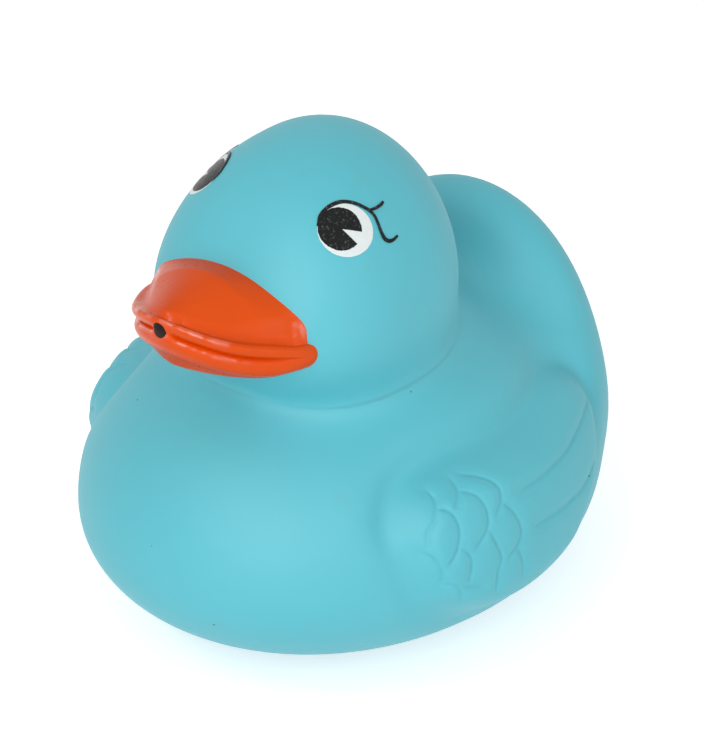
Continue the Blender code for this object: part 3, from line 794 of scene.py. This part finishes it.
    def jaw_row(self, turn: np.ndarray, share: float) -> np.ndarray:
        """Give one row of the lower jaw."""
        inset = np.full_like(turn, self.lip_lower + self.lip_setback)
        across, side = self.plan(turn, inset, share)
        lip = 2.0 * self.lip_lower * (1.0 - self.corner_rise * self.corner(turn))
        back = self.back_share(side)
        depth = self.jaw_tip + (self.jaw_root - self.jaw_tip) * back
        half = (self.half_width - inset) * self.widths(side, self.lip_lower + self.lip_setback)
        beside = np.clip(np.abs(across) / np.maximum(half, 1e-6), 0.0, 1.0)
        drop = lip + (depth - lip) * (1.0 - beside ** 2) ** self.jaw_power
        return np.column_stack([across, side, self.mouth_height(side) - drop])

    def widths(self, side: np.ndarray, inset: float) -> np.ndarray:
        """Give the share of the half width at each y place."""
        length = np.where(side < self.root, self.reach, self.sunk) - inset
        part = np.clip((side - self.root) / length, -1.0, 1.0)
        return np.maximum(1.0 - np.abs(part) ** self.power, 1e-9) ** (1.0 / self.power) * self.flared(side)

    def shell(self) -> bpy.types.Mesh:
        """Make the closed bill from its rows."""
        turn = 2.0 * math.pi * np.arange(self.columns) / self.columns
        angles = list(np.linspace(self.lip_from, math.pi / 2.0, self.lip_rows + 1))
        rows = [self.jaw_row(turn, step / self.jaw_rows) for step in range(1, self.jaw_rows)]
        rows += [self.lip_row(turn, False, angle) for angle in reversed(angles)]
        rows += [self.lip_row(turn, True, None)]
        rows += [self.lip_row(turn, True, angle) for angle in angles]
        rows += [self.top_row(turn, step / self.top_rows) for step in range(self.top_rows - 1, 0, -1)]
        bottom = self.jaw_row(turn[:1], 0.0)
        top = self.top_row(turn[:1], 0.0)
        verts = np.concatenate([bottom] + rows + [top])
        count = self.columns
        faces = []
        for column in range(count):
            follow = (column + 1) % count
            faces.append((0, 1 + follow, 1 + column))
            for row in range(len(rows) - 1):
                low, high = 1 + row * count, 1 + (row + 1) * count
                faces.append((low + column, low + follow, high + follow, high + column))
            last = 1 + (len(rows) - 1) * count
            faces.append((last + column, last + follow, len(verts) - 1))
        return mesh_from("duck_bill", verts, faces)

    def gloss(self, points: np.ndarray) -> np.ndarray:
        """Give how thick the paint is: it gathers on the crests of the lips and at the cheeks."""
        across, side = np.abs(points[:, 0]), points[:, 1]
        height = points[:, 2] - self.mouth_height(side)
        level = (across / (self.half_width * self.flared(side))) ** self.power
        ahead = np.clip((self.root - side) / self.reach, 0.0, 1.0) ** self.power
        level = (level + ahead) ** (1.0 / self.power)
        outer = smooth_step((level - self.paint_rim[0]) / self.paint_rim[1])
        outer = outer * (1.0 - smooth_step((across - self.paint_ends[0]) / self.paint_ends[1]))
        share, spread = self.crest_upper
        upper = np.exp(-((height - share * self.lip_upper) / spread) ** 2)
        share, spread = self.crest_lower
        lower = np.exp(-((height + share * self.lip_lower) / spread) ** 2)
        cheek = smooth_step((across - self.cheek_across[0]) / self.cheek_across[1])
        cheek = cheek * smooth_step((side - self.root + self.cheek_back[0]) / self.cheek_back[1])
        middle, spread = self.cheek_height
        cheek = self.cheek_share * cheek * np.exp(-((height - middle) / spread) ** 2)
        return np.clip(outer * (upper + lower) + cheek, 0.0, 1.0)

    def hole_axis(self) -> tuple[Vector, Vector]:
        """Give the outer and inner end of the squirt hole."""
        tip = self.root - self.reach
        front = Vector((0.0, tip - self.hole_ahead, float(self.mouth_height(np.array([tip]))[0])))
        return front, Vector(self.hole_back)

    def drill(self, bill: bpy.types.Object) -> None:
        """Cut the squirt hole and give its wall the second finish, a dark grey that paints the shade inside
        the hole.
        """
        front, back = self.hole_axis()
        axis = back - front
        work = bmesh.new()
        place = Matrix.Translation((front + back) / 2.0)
        place = place @ axis.to_track_quat("Z", "Y").to_matrix().to_4x4()
        bmesh.ops.create_cone(work, cap_ends=True, segments=64, radius1=self.hole_radius,
                              radius2=self.hole_radius, depth=axis.length, matrix=place)
        cutter = link_object("hole_cutter", mesh_of(work, "hole_cutter"))
        cut = bill.modifiers.new("squirt_hole", "BOOLEAN")
        cut.operation = "DIFFERENCE"
        cut.solver = "EXACT"
        cut.object = cutter
        bake(bill)
        bpy.data.objects.remove(cutter)
        run = axis.normalized()
        for face in bill.data.polygons:
            offset = face.center - front
            along = offset.dot(run)
            beside = (offset - run * along).length
            in_hole = beside < self.hole_radius * 1.001 and along > 0.0
            outward = face.normal.dot((offset - run * along).normalized()) if beside > 1e-6 else -1.0
            # The faces of the hole's wall get the dark grey painted shade.
            face.material_index = 1 if in_hole and outward < -0.3 else 0

    def build(self, paint: bpy.types.Material, inside: bpy.types.Material) -> None:
        """Make the bill.

        Args:
            paint: Orange paint.
            inside: Finish of the wall of the squirt hole, a dark grey painted shade.
        """
        bill = link_object("duck_bill", self.shell())
        bill.data.materials.append(paint)
        bill.data.materials.append(inside)
        self.drill(bill)
        thick = bill.data.attributes.new("paint_thickness", "FLOAT", "POINT")
        thick.data.foreach_set("value", self.gloss(coords_of(bill.data)))
        bill.data.polygons.foreach_set("use_smooth", [True] * len(bill.data.polygons))
        bill.data.set_sharp_from_angle(angle=math.radians(50.0))
        hand_in(bill)


# Printed eyes


@dataclass
class PrintedEye:
    """Eye printed on the head: white disc, black pupil with a light wedge, lid line and lashes.

    Places on the print are (back, up) from the middle of the eye.
    """

    form: DuckForm
    side: Side
    places: tuple[Pair, Pair] = ((0.01358, 0.0708), (-0.0127, 0.0716))
    disc_centre: Pair = (0.00010, 0.00012)
    disc_radii: Pair = (0.00412, 0.00396)
    pupil_radius: float = 0.00320
    pupil_centre: Pair = (-0.00070, 0.00042)
    wedge_apex: Pair = (-0.00050, 0.00029)
    wedge_from: float = math.radians(-56.0)
    wedge_to: float = math.radians(-17.0)
    ink_step: float = 0.00004
    ink_sunk: float = 0.00030
    line_width: float = 0.00050
    line_height: float = 0.00008
    line_step: float = 0.00012
    line_layers: Pair = (2.4, 0.3)
    disc_points: int = 120
    disc_shake: float = 0.00002
    pupil_points: int = 130
    pupil_shake: float = 0.00003
    wedge_points: int = 24
    heart_inset: float = 0.0008
    lid_line: tuple[Triple, ...] = (
        (-0.00375, 0.00150, 0.5), (-0.00300, 0.00285, 0.9), (-0.00178, 0.00375, 1.1),
        (-0.00035, 0.00422, 1.2), (0.00098, 0.00424, 1.1), (0.00238, 0.00380, 1.0),
        (0.00350, 0.00310, 1.0), (0.00442, 0.00235, 1.0), (0.00498, 0.00150, 0.9),
        (0.00522, 0.00035, 0.9), (0.00538, -0.00090, 1.0), (0.00572, -0.00195, 1.2),
        (0.00632, -0.00236, 1.15), (0.00715, -0.00223, 0.9), (0.00806, -0.00169, 0.65),
    )
    upper_lash: tuple[Triple, ...] = (
        (0.00440, 0.00240, 0.8), (0.00535, 0.00254, 0.9), (0.00605, 0.00280, 0.95),
        (0.00664, 0.00308, 0.9), (0.00708, 0.00348, 0.75),
    )
    middle: Vector = field(init=False)
    out: Vector = field(init=False)
    back: Vector = field(init=False)
    up: Vector = field(init=False)

    def __post_init__(self) -> None:
        """Find the middle of the eye on the front of the head, and its directions."""
        head = self.form.head
        across, height = self.places[0 if self.side is Side.LEFT else 1]
        point = np.array([[across, head.centre[1] - head.minus[1], height]])
        for _ in range(30):
            slope = slope_of(self.form.head_value, point)
            point[:, 1] -= 0.7 * self.form.head_value(point) / slope[:, 1]
        self.middle = Vector(point[0])
        self.out = Vector(slope_of(self.form.head_value, point)[0]).normalized()
        self.up = (Vector((0.0, 0.0, 1.0)) - self.out * self.out.z).normalized()
        self.back = self.up.cross(self.out) * self.side.value

    def on_head(self, places: np.ndarray) -> np.ndarray:
        """Lay (back, up) places on the head."""
        back, up, out = np.array(self.back), np.array(self.up), np.array(self.out)
        points = np.array(self.middle) + places[:, :1] * back + places[:, 1:] * up
        for _ in range(6):
            share = slope_of(self.form.head_value, points) @ out
            points = points - out * (self.form.head_value(points) / share)[:, None]
        return points

    def outward(self, points: np.ndarray) -> np.ndarray:
        """Give the outward direction of the head at these points."""
        return outward_of(self.form.head_value, points)

    def field_of_ink(self, name: str, edge: np.ndarray, heart: Pair, layer: int,
                     ink: bpy.types.Material) -> None:
        """Make a thin closed slab of ink that follows the head.

        Args:
            name: Name of the piece.
            edge: Places of its edge.
            heart: Place inside from which the whole edge can be seen.
            layer: Number of the ink layer, counted from the head.
            ink: Finish.
        """
        shares = (1.0, 0.97, 0.85, 0.65, 0.45, 0.25, 0.1)
        centre = np.array(heart)
        rings = np.concatenate([centre + (edge - centre) * share for share in shares] + [[centre]])
        points = self.on_head(rings)
        outward = self.outward(points)
        top = points + outward * (self.ink_step * layer)
        low = points - outward * self.ink_sunk
        count = len(edge)
        total = len(rings)
        faces = []
        for spot in range(count):
            follow = (spot + 1) % count
            faces.append((spot, follow, total + follow, total + spot))
            for start in (0, total):
                for ring in range(len(shares) - 1):
                    near, far = start + ring * count, start + (ring + 1) * count
                    faces.append((near + spot, near + follow, far + follow, far + spot))
                last = start + (len(shares) - 1) * count
                faces.append((last + spot, last + follow, start + total - 1))
        mesh = mesh_from(name, np.concatenate([top, low]), faces)
        mesh.set_sharp_from_angle(angle=math.radians(60.0))
        mesh.materials.append(ink)
        hand_in(link_object(name, mesh))

    def ragged(self, edge: np.ndarray, seed: int, amount: float) -> np.ndarray:
        """Shake an edge a little, as a print's edge is."""
        shake = np.random.default_rng(seed).normal(0.0, amount, edge.shape)
        return edge + (shake + np.roll(shake, 1, axis=0)) / 2.0

    def white_disc(self, ink: bpy.types.Material) -> None:
        """Print the white of the eye."""
        turn = 2.0 * math.pi * np.arange(self.disc_points) / self.disc_points
        edge = np.array(self.disc_centre) + np.array(self.disc_radii) * np.column_stack(
            [np.cos(turn), np.sin(turn)])
        edge = self.ragged(edge, 5, self.disc_shake)
        self.field_of_ink("eye_white_" + self.side.name.lower(), edge, (0.0, 0.0), 1, ink)

    def pupil(self, ink: bpy.types.Material) -> None:
        """Print the pupil with its open wedge."""
        centre = np.array(self.pupil_centre)
        apex = np.array(self.wedge_apex)
        ends = []
        for angle in (self.wedge_to, self.wedge_from):
            run = np.array((math.cos(angle), math.sin(angle)))
            offset = apex - centre
            along = -offset @ run + math.sqrt((offset @ run) ** 2 - offset @ offset + self.pupil_radius ** 2)
            ends.append(apex + run * along)
        first = math.atan2(*(ends[0] - centre)[::-1])
        last = math.atan2(*(ends[1] - centre)[::-1]) + 2.0 * math.pi
        turn = np.linspace(first, last, self.pupil_points)
        rim = centre + self.pupil_radius * np.column_stack([np.cos(turn), np.sin(turn)])
        rim = self.ragged(rim, 7, self.pupil_shake)
        steps = np.linspace(0.0, 1.0, self.wedge_points)[1:-1, None]
        edge = np.concatenate([rim, ends[1] + (apex - ends[1]) * steps, [apex],
                               apex + (ends[0] - apex) * steps])
        middle_turn = (self.wedge_from + self.wedge_to) / 2.0 + math.pi
        heart = apex + self.heart_inset * np.array((math.cos(middle_turn), math.sin(middle_turn)))
        self.field_of_ink("eye_pupil_" + self.side.name.lower(), edge, tuple(heart), 2, ink)

    def strokes(self, tree: Tree, ink: bpy.types.Material) -> None:
        """Print the lid line, which runs on into the lower lash, and the upper lash."""
        lines, shares = [], []
        lowest, apart = self.line_layers
        for layer, given in enumerate((self.lid_line, self.upper_lash)):
            path = smooth_path(given, self.line_step)
            points = self.on_head(path[:, :2])
            lines.append(points + self.outward(points) * self.ink_step * (lowest + apart * layer))
            shares.append(path[:, 2])
        item = guide_mesh("eye_lines_" + self.side.name.lower(), lines)
        outward = item.data.attributes.new("outward", "FLOAT_VECTOR", "POINT")
        outward.data.foreach_set("vector", self.outward(np.concatenate(lines)).ravel())
        share = item.data.attributes.new("share", "FLOAT", "POINT")
        share.data.foreach_set("value", np.concatenate(shares))
        tree.put_on(item, {"Stroke Width": self.line_width, "Ink Height": self.line_height,
                           "Finish": ink})
        hand_in(item)

    def build(self, tree: Tree, inks: dict[Ink, bpy.types.Material]) -> None:
        """Print the whole eye."""
        self.white_disc(inks[Ink.WHITE])
        self.pupil(inks[Ink.BLACK])
        self.strokes(tree, inks[Ink.BLACK])


# Finishes


def feed(tree: bpy.types.NodeTree, place: bpy.types.NodeSocket, value) -> None:
    """Link a socket to an input, or set the input to a plain value."""
    if isinstance(value, bpy.types.NodeSocket):
        tree.links.new(value, place)
    else:
        place.default_value = value


def maths(tree: bpy.types.NodeTree, operation: str, first, second) -> bpy.types.NodeSocket:
    """Combine two values, each a number or a socket."""
    made = tree.nodes.new("ShaderNodeMath")
    made.operation = operation
    feed(tree, made.inputs[0], first)
    feed(tree, made.inputs[1], second)
    return made.outputs[0]


@dataclass(frozen=True)
class Finish:
    """Finish with an even colour, which the finishes below add their own detail to."""

    name: str
    colour: Triple
    roughness: float
    specular: float = 0.5
    coat: float = 0.0
    coat_roughness: float = 0.1
    subsurface: float = 0.0
    sheen: float = 0.0
    sheen_roughness: float = 0.5
    coat_ior: float = 1.5
    scatter: Triple = (0.6, 1.0, 1.0)
    scatter_scale: float = 0.0012

    def start(self) -> tuple[bpy.types.Material, bpy.types.Node]:
        """Make the material with its constants on the shader's own sockets."""
        material = bpy.data.materials.new(self.name)
        material.use_nodes = True
        material.diffuse_color = (*self.colour, 1.0)
        shader = material.node_tree.nodes["Principled BSDF"]
        constants = {
            "Base Color": (*self.colour, 1.0), "Roughness": self.roughness,
            "Specular IOR Level": self.specular, "Coat Weight": self.coat,
            "Coat Roughness": self.coat_roughness, "Coat IOR": self.coat_ior,
            "Subsurface Weight": self.subsurface, "Subsurface Radius": self.scatter,
            "Subsurface Scale": self.scatter_scale, "Sheen Weight": self.sheen,
            "Sheen Roughness": self.sheen_roughness,
        }
        for name, value in constants.items():
            shader.inputs[name].default_value = value
        return material, shader


@dataclass(frozen=True)
class Mottle:
    """Shared effect: soft uneven colour, a fine grain and sparse dark specks."""

    name: str = "moulded_surface"
    scales: tuple[str, ...] = ("Cloud Scale", "Grain Scale", "Speck Scale", "Speck Size")
    cloud_detail: float = 3.0
    grain_detail: float = 4.0
    grain_roughness: float = 0.6
    specks_above: float = 0.86

    def group(self) -> bpy.types.NodeTree:
        """Make the node group, or give the one that is already made."""
        kept = bpy.data.node_groups.get(self.name)
        if kept:
            return kept
        tree = bpy.data.node_groups.new(self.name, "ShaderNodeTree")
        face = tree.interface
        face.new_socket("Vector", in_out="INPUT", socket_type="NodeSocketVector")
        for given in self.scales:
            face.new_socket(given, in_out="INPUT", socket_type="NodeSocketFloat")
        for result in ("Cloud", "Grain", "Specks"):
            face.new_socket(result, in_out="OUTPUT", socket_type="NodeSocketFloat")
        nodes, links = tree.nodes, tree.links
        source = nodes.new("NodeGroupInput")
        sink = nodes.new("NodeGroupOutput")
        cloud = nodes.new("ShaderNodeTexNoise")
        cloud.inputs["Detail"].default_value = self.cloud_detail
        grain = nodes.new("ShaderNodeTexNoise")
        grain.inputs["Detail"].default_value = self.grain_detail
        grain.inputs["Roughness"].default_value = self.grain_roughness
        cells = nodes.new("ShaderNodeTexVoronoi")
        rare = nodes.new("ShaderNodeSeparateColor")
        for texture, scale in ((cloud, "Cloud Scale"), (grain, "Grain Scale"), (cells, "Speck Scale")):
            links.new(source.outputs["Vector"], texture.inputs["Vector"])
            links.new(source.outputs[scale], texture.inputs["Scale"])
        links.new(cells.outputs["Color"], rare.inputs[0])
        inside = maths(tree, "LESS_THAN", cells.outputs["Distance"], source.outputs["Speck Size"])
        chosen = maths(tree, "GREATER_THAN", rare.outputs[0], self.specks_above)
        links.new(cloud.outputs[0], sink.inputs["Cloud"])
        links.new(grain.outputs[0], sink.inputs["Grain"])
        links.new(maths(tree, "MULTIPLY", inside, chosen), sink.inputs["Specks"])
        return tree

    def place(self, tree: bpy.types.NodeTree, values: Quad) -> bpy.types.Node:
        """Put the group into a material with these scales, fed by object coordinates."""
        made = tree.nodes.new("ShaderNodeGroup")
        made.node_tree = self.group()
        coords = tree.nodes.new("ShaderNodeTexCoord")
        tree.links.new(coords.outputs["Object"], made.inputs["Vector"])
        for name, value in zip(self.scales, values):
            made.inputs[name].default_value = value
        return made


def seen_directly(tree: bpy.types.NodeTree) -> bpy.types.NodeSocket:
    """Give 1 to the camera, in reflections and through clear things, and 0 to the light that is cast.

    Args:
        tree: Node tree to add the nodes to.

    Returns:
        Socket with the value.
    """
    path = tree.nodes.new("ShaderNodeLightPath")
    seen = path.outputs["Is Camera Ray"]
    for name in ("Is Glossy Ray", "Is Transmission Ray"):
        seen = maths(tree, "MAXIMUM", seen, path.outputs[name])
    return seen


def ramp(tree: bpy.types.NodeTree, feed: bpy.types.NodeSocket, spans: tuple) -> bpy.types.NodeSocket:
    """Map a value from one range to another: spans are from low, from high, to low, to high."""
    made = tree.nodes.new("ShaderNodeMapRange")
    for number, value in enumerate(spans, start=1):
        made.inputs[number].default_value = value
    tree.links.new(feed, made.inputs[0])
    return made.outputs[0]


def mixed(tree: bpy.types.NodeTree, share, first, second) -> bpy.types.NodeSocket:
    """Mix two colours, each a colour or a socket, by a share that is a number or a socket."""
    made = tree.nodes.new("ShaderNodeMix")
    made.data_type = "RGBA"
    for place, value in ((made.inputs[0], share), (made.inputs[6], first), (made.inputs[7], second)):
        feed(tree, place, (*value, 1.0) if isinstance(value, tuple) else value)
    return made.outputs[2]


def bumped(tree: bpy.types.NodeTree, shader: bpy.types.Node, height, depth: float, sharp: float) -> None:
    """Feed a height to the shader's normal."""
    bump = tree.nodes.new("ShaderNodeBump")
    bump.inputs["Strength"].default_value = sharp
    bump.inputs["Distance"].default_value = depth
    tree.links.new(height, bump.inputs["Height"])
    tree.links.new(bump.outputs[0], shader.inputs["Normal"])


@dataclass(frozen=True)
class Vinyl(Finish):
    """Soft turquoise vinyl: satin, with a few dark specks and faint handling marks."""

    name: str = "turquoise_vinyl_skin"
    colour: Triple = (0.066, 0.482, 0.574)
    roughness: float = 0.56
    specular: float = 0.95
    subsurface: float = 0.15
    sheen: float = 0.06
    sheen_roughness: float = 0.6
    light: Triple = (0.076, 0.504, 0.593)
    mark: Triple = (0.130, 0.380, 0.430)
    speck: Triple = (0.015, 0.110, 0.140)
    texture: Quad = (60.0, 2600.0, 190.0, 0.035)
    mark_texture: Quad = (130.0, 400.0, 90.0, 0.01)
    mark_span: Quad = (0.66, 0.80, 0.0, 0.30)
    rough_span: Quad = (0.2, 0.8, 0.52, 0.62)
    bump: Pair = (0.00002, 0.35)

    def make(self) -> bpy.types.Material:
        """Make the material."""
        material, shader = self.start()
        tree = material.node_tree
        surface = Mottle().place(tree, self.texture)
        base = mixed(tree, surface.outputs["Cloud"], self.colour, self.light)
        marks = Mottle().place(tree, self.mark_texture)
        smudge = ramp(tree, marks.outputs["Cloud"], self.mark_span)
        base = mixed(tree, smudge, base, self.mark)
        base = mixed(tree, surface.outputs["Specks"], base, self.speck)
        tree.links.new(base, shader.inputs["Base Color"])
        rough = ramp(tree, surface.outputs["Grain"], self.rough_span)
        tree.links.new(rough, shader.inputs["Roughness"])
        bumped(tree, shader, surface.outputs["Grain"], *self.bump)
        return material


@dataclass(frozen=True)
class Paint(Finish):
    """Glossy orange paint, brushed on, with fine scratches."""

    name: str = "orange_bill_paint"
    colour: Triple = (0.760, 0.082, 0.001)
    roughness: float = 0.28
    specular: float = 0.08
    coat: float = 0.08
    coat_roughness: float = 0.22
    coat_ior: float = 2.0
    deep: Triple = (0.690, 0.066, 0.001)
    texture: Quad = (170.0, 1500.0, 500.0, 0.10)
    streak_texture: Quad = (420.0, 900.0, 400.0, 0.2)
    streak_span: Quad = (0.44, 0.56, 0.0, 1.0)
    rough_span: Quad = (0.25, 0.75, 0.26, 0.32)
    bump: Pair = (0.00006, 0.25)

    def make(self) -> bpy.types.Material:
        """Make the material."""
        material, shader = self.start()
        tree = material.node_tree
        surface = Mottle().place(tree, self.texture)
        base = mixed(tree, surface.outputs["Cloud"], self.colour, self.deep)
        tree.links.new(base, shader.inputs["Base Color"])
        rough = ramp(tree, surface.outputs["Grain"], self.rough_span)
        tree.links.new(rough, shader.inputs["Roughness"])
        thick = tree.nodes.new("ShaderNodeAttribute")
        thick.attribute_name = "paint_thickness"
        streaks = Mottle().place(tree, self.streak_texture)
        streak = ramp(tree, streaks.outputs["Cloud"], self.streak_span)
        broken = maths(tree, "MULTIPLY", thick.outputs["Fac"], streak)
        coat = ramp(tree, broken, (0.0, 1.0, self.coat, 1.0))
        tree.links.new(coat, shader.inputs["Coat Weight"])
        bumped(tree, shader, surface.outputs["Cloud"], *self.bump)
        return material


@dataclass(frozen=True)
class InkFinish(Finish):
    """Screen printed ink with a pricked surface, speckled with a second colour that is partly wear and
    partly painted glints.
    """

    wear_and_glint: Triple = (0.05, 0.055, 0.055)
    texture: Quad = (700.0, 2400.0, 2600.0, 0.25)
    wear_and_glint_span: Quad = (0.56, 0.74, 0.0, 1.0)
    rough_span: Quad = (0.3, 0.7, 0.20, 0.40)
    bump: Pair = (0.00006, 0.6)

    def make(self) -> bpy.types.Material:
        """Make the material."""
        material, shader = self.start()
        tree = material.node_tree
        surface = Mottle().place(tree, self.texture)
        # Speckles of the second colour: partly worn ink, partly painted glints of light on the rough ink.
        share = ramp(tree, surface.outputs["Grain"], self.wear_and_glint_span)
        tree.links.new(mixed(tree, share, self.colour, self.wear_and_glint), shader.inputs["Base Color"])
        rough = ramp(tree, surface.outputs["Cloud"], self.rough_span)
        tree.links.new(rough, shader.inputs["Roughness"])
        bumped(tree, shader, surface.outputs["Grain"], *self.bump)
        return material


# Room


def direction(azimuth: float, elevation: float) -> Vector:
    """Give the direction from the duck to a place, in degrees round from its front and up."""
    side, rise = math.radians(azimuth), math.radians(elevation)
    return Vector((math.sin(side) * math.cos(rise), -math.cos(side) * math.cos(rise), math.sin(rise)))


@dataclass(frozen=True)
class Lamp:
    """Soft lamp, placed by its direction from the duck."""

    name: str
    azimuth: float
    elevation: float
    distance: float
    width: float
    power: float

    def build(self, aim: Vector) -> None:
        """Hang the lamp and point it at the duck."""
        run = direction(self.azimuth, self.elevation)
        data = bpy.data.lights.new(self.name, "AREA")
        data.shape = "SQUARE"
        data.size = self.width
        data.energy = self.power
        lamp = link_object(self.name, data)
        lamp.location = aim + run * self.distance
        lamp.rotation_mode = "QUATERNION"
        lamp.rotation_quaternion = run.to_track_quat("Z", "Y")


@dataclass(frozen=True)
class Studio:
    """Pale floor, soft lamps, even surroundings and the camera."""

    aim: Triple = (0.0, 0.0019, 0.040)
    lamps: tuple[Lamp, ...] = (
        Lamp("key_lamp", 26.0, 26.0, 0.60, 0.45, 1.48),
        Lamp("side_lamp", 84.0, 22.0, 0.60, 0.35, 0.34),
        Lamp("lip_lamp", -8.0, 46.0, 0.50, 0.08, 0.22),
    )
    surroundings: float = 0.52
    floor_glow: float = 0.50
    floor_colour: Triple = (0.93, 0.93, 0.93)
    floor_size: float = 6.0
    floor_roughness: float = 0.9
    view_azimuth: float = 39.56
    view_elevation: float = 29.55
    view_distance: float = 0.480
    view_shift: Pair = (0.00002, -0.00466)
    sensor: float = 36.0
    lens: float = 151.2

    def floor(self) -> None:
        """Lay the floor."""
        work = bmesh.new()
        bmesh.ops.create_grid(work, x_segments=2, y_segments=2, size=self.floor_size / 2.0)
        made = link_object("studio_floor", mesh_of(work, "studio_floor"))
        material, shader = Finish("studio_floor", self.floor_colour, self.floor_roughness,
                                  specular=0.2).start()
        tree = material.node_tree
        glow = ramp(tree, seen_directly(tree), (0.0, 1.0, 0.0, self.floor_glow))
        shader.inputs["Emission Color"].default_value = (1.0, 1.0, 1.0, 1.0)
        tree.links.new(glow, shader.inputs["Emission Strength"])
        made.data.materials.append(material)

    def sky(self) -> None:
        """Light the room evenly, and keep it white to the camera and in reflections."""
        world = bpy.data.worlds.new("studio")
        bpy.context.scene.world = world
        world.use_nodes = True
        tree = world.node_tree
        background = tree.nodes["Background"]
        background.inputs["Color"].default_value = (1.0, 1.0, 1.0, 1.0)
        strength = ramp(tree, seen_directly(tree), (0.0, 1.0, self.surroundings, 1.0))
        tree.links.new(strength, background.inputs["Strength"])

    def camera(self) -> None:
        """Set the camera at the photograph's viewing angle."""
        side = math.radians(self.view_azimuth)
        right = Vector((math.cos(side), math.sin(side), 0.0))
        back = direction(self.view_azimuth, self.view_elevation)
        up = back.cross(right)
        aside, above = self.view_shift
        place = Vector(self.aim) + back * self.view_distance + right * aside + up * above
        data = bpy.data.cameras.new("photo_camera")
        data.sensor_width = self.sensor
        data.lens = self.lens
        data.clip_start = 0.01
        camera = link_object("photo_camera", data)
        camera.matrix_world = Matrix((
            (right.x, up.x, back.x, place.x),
            (right.y, up.y, back.y, place.y),
            (right.z, up.z, back.z, place.z),
            (0.0, 0.0, 0.0, 1.0),
        ))
        bpy.context.scene.camera = camera

    def build(self) -> None:
        """Set up the whole room."""
        self.floor()
        self.sky()
        for lamp in self.lamps:
            lamp.build(Vector(self.aim))
        self.camera()
        bpy.context.scene.view_settings.view_transform = "Standard"


def main() -> None:
    """Build the duck and the room round it."""
    logging.basicConfig(level=logging.INFO, format="%(name)s: %(message)s")
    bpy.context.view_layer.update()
    form = DuckForm()
    wing = Wing()
    Moulding(form, wing).build(Vinyl().make())
    # Dark grey painted shade for the wall of the squirt hole, where the hollow inside lies in shade.
    hole = Finish("hole_wall", (0.100, 0.080, 0.078), 0.5).start()[0]
    Bill().build(Paint().make(), hole)
    inks = {
        Ink.WHITE: InkFinish(Ink.WHITE.value, (0.78, 0.84, 0.84), 0.35, specular=0.3,
                             wear_and_glint=(0.73, 0.80, 0.80)).make(),
        # The grey speckles of the black ink are painted glints as well as wear.
        Ink.BLACK: InkFinish(Ink.BLACK.value, (0.006, 0.007, 0.007), 0.30, specular=0.18,
                             wear_and_glint=(0.10, 0.11, 0.11)).make(),
    }
    tree = stroke_tree()
    for side in Side:
        PrintedEye(form, side).build(tree, inks)
    Studio().build()


if __name__ == "__main__":
    main()
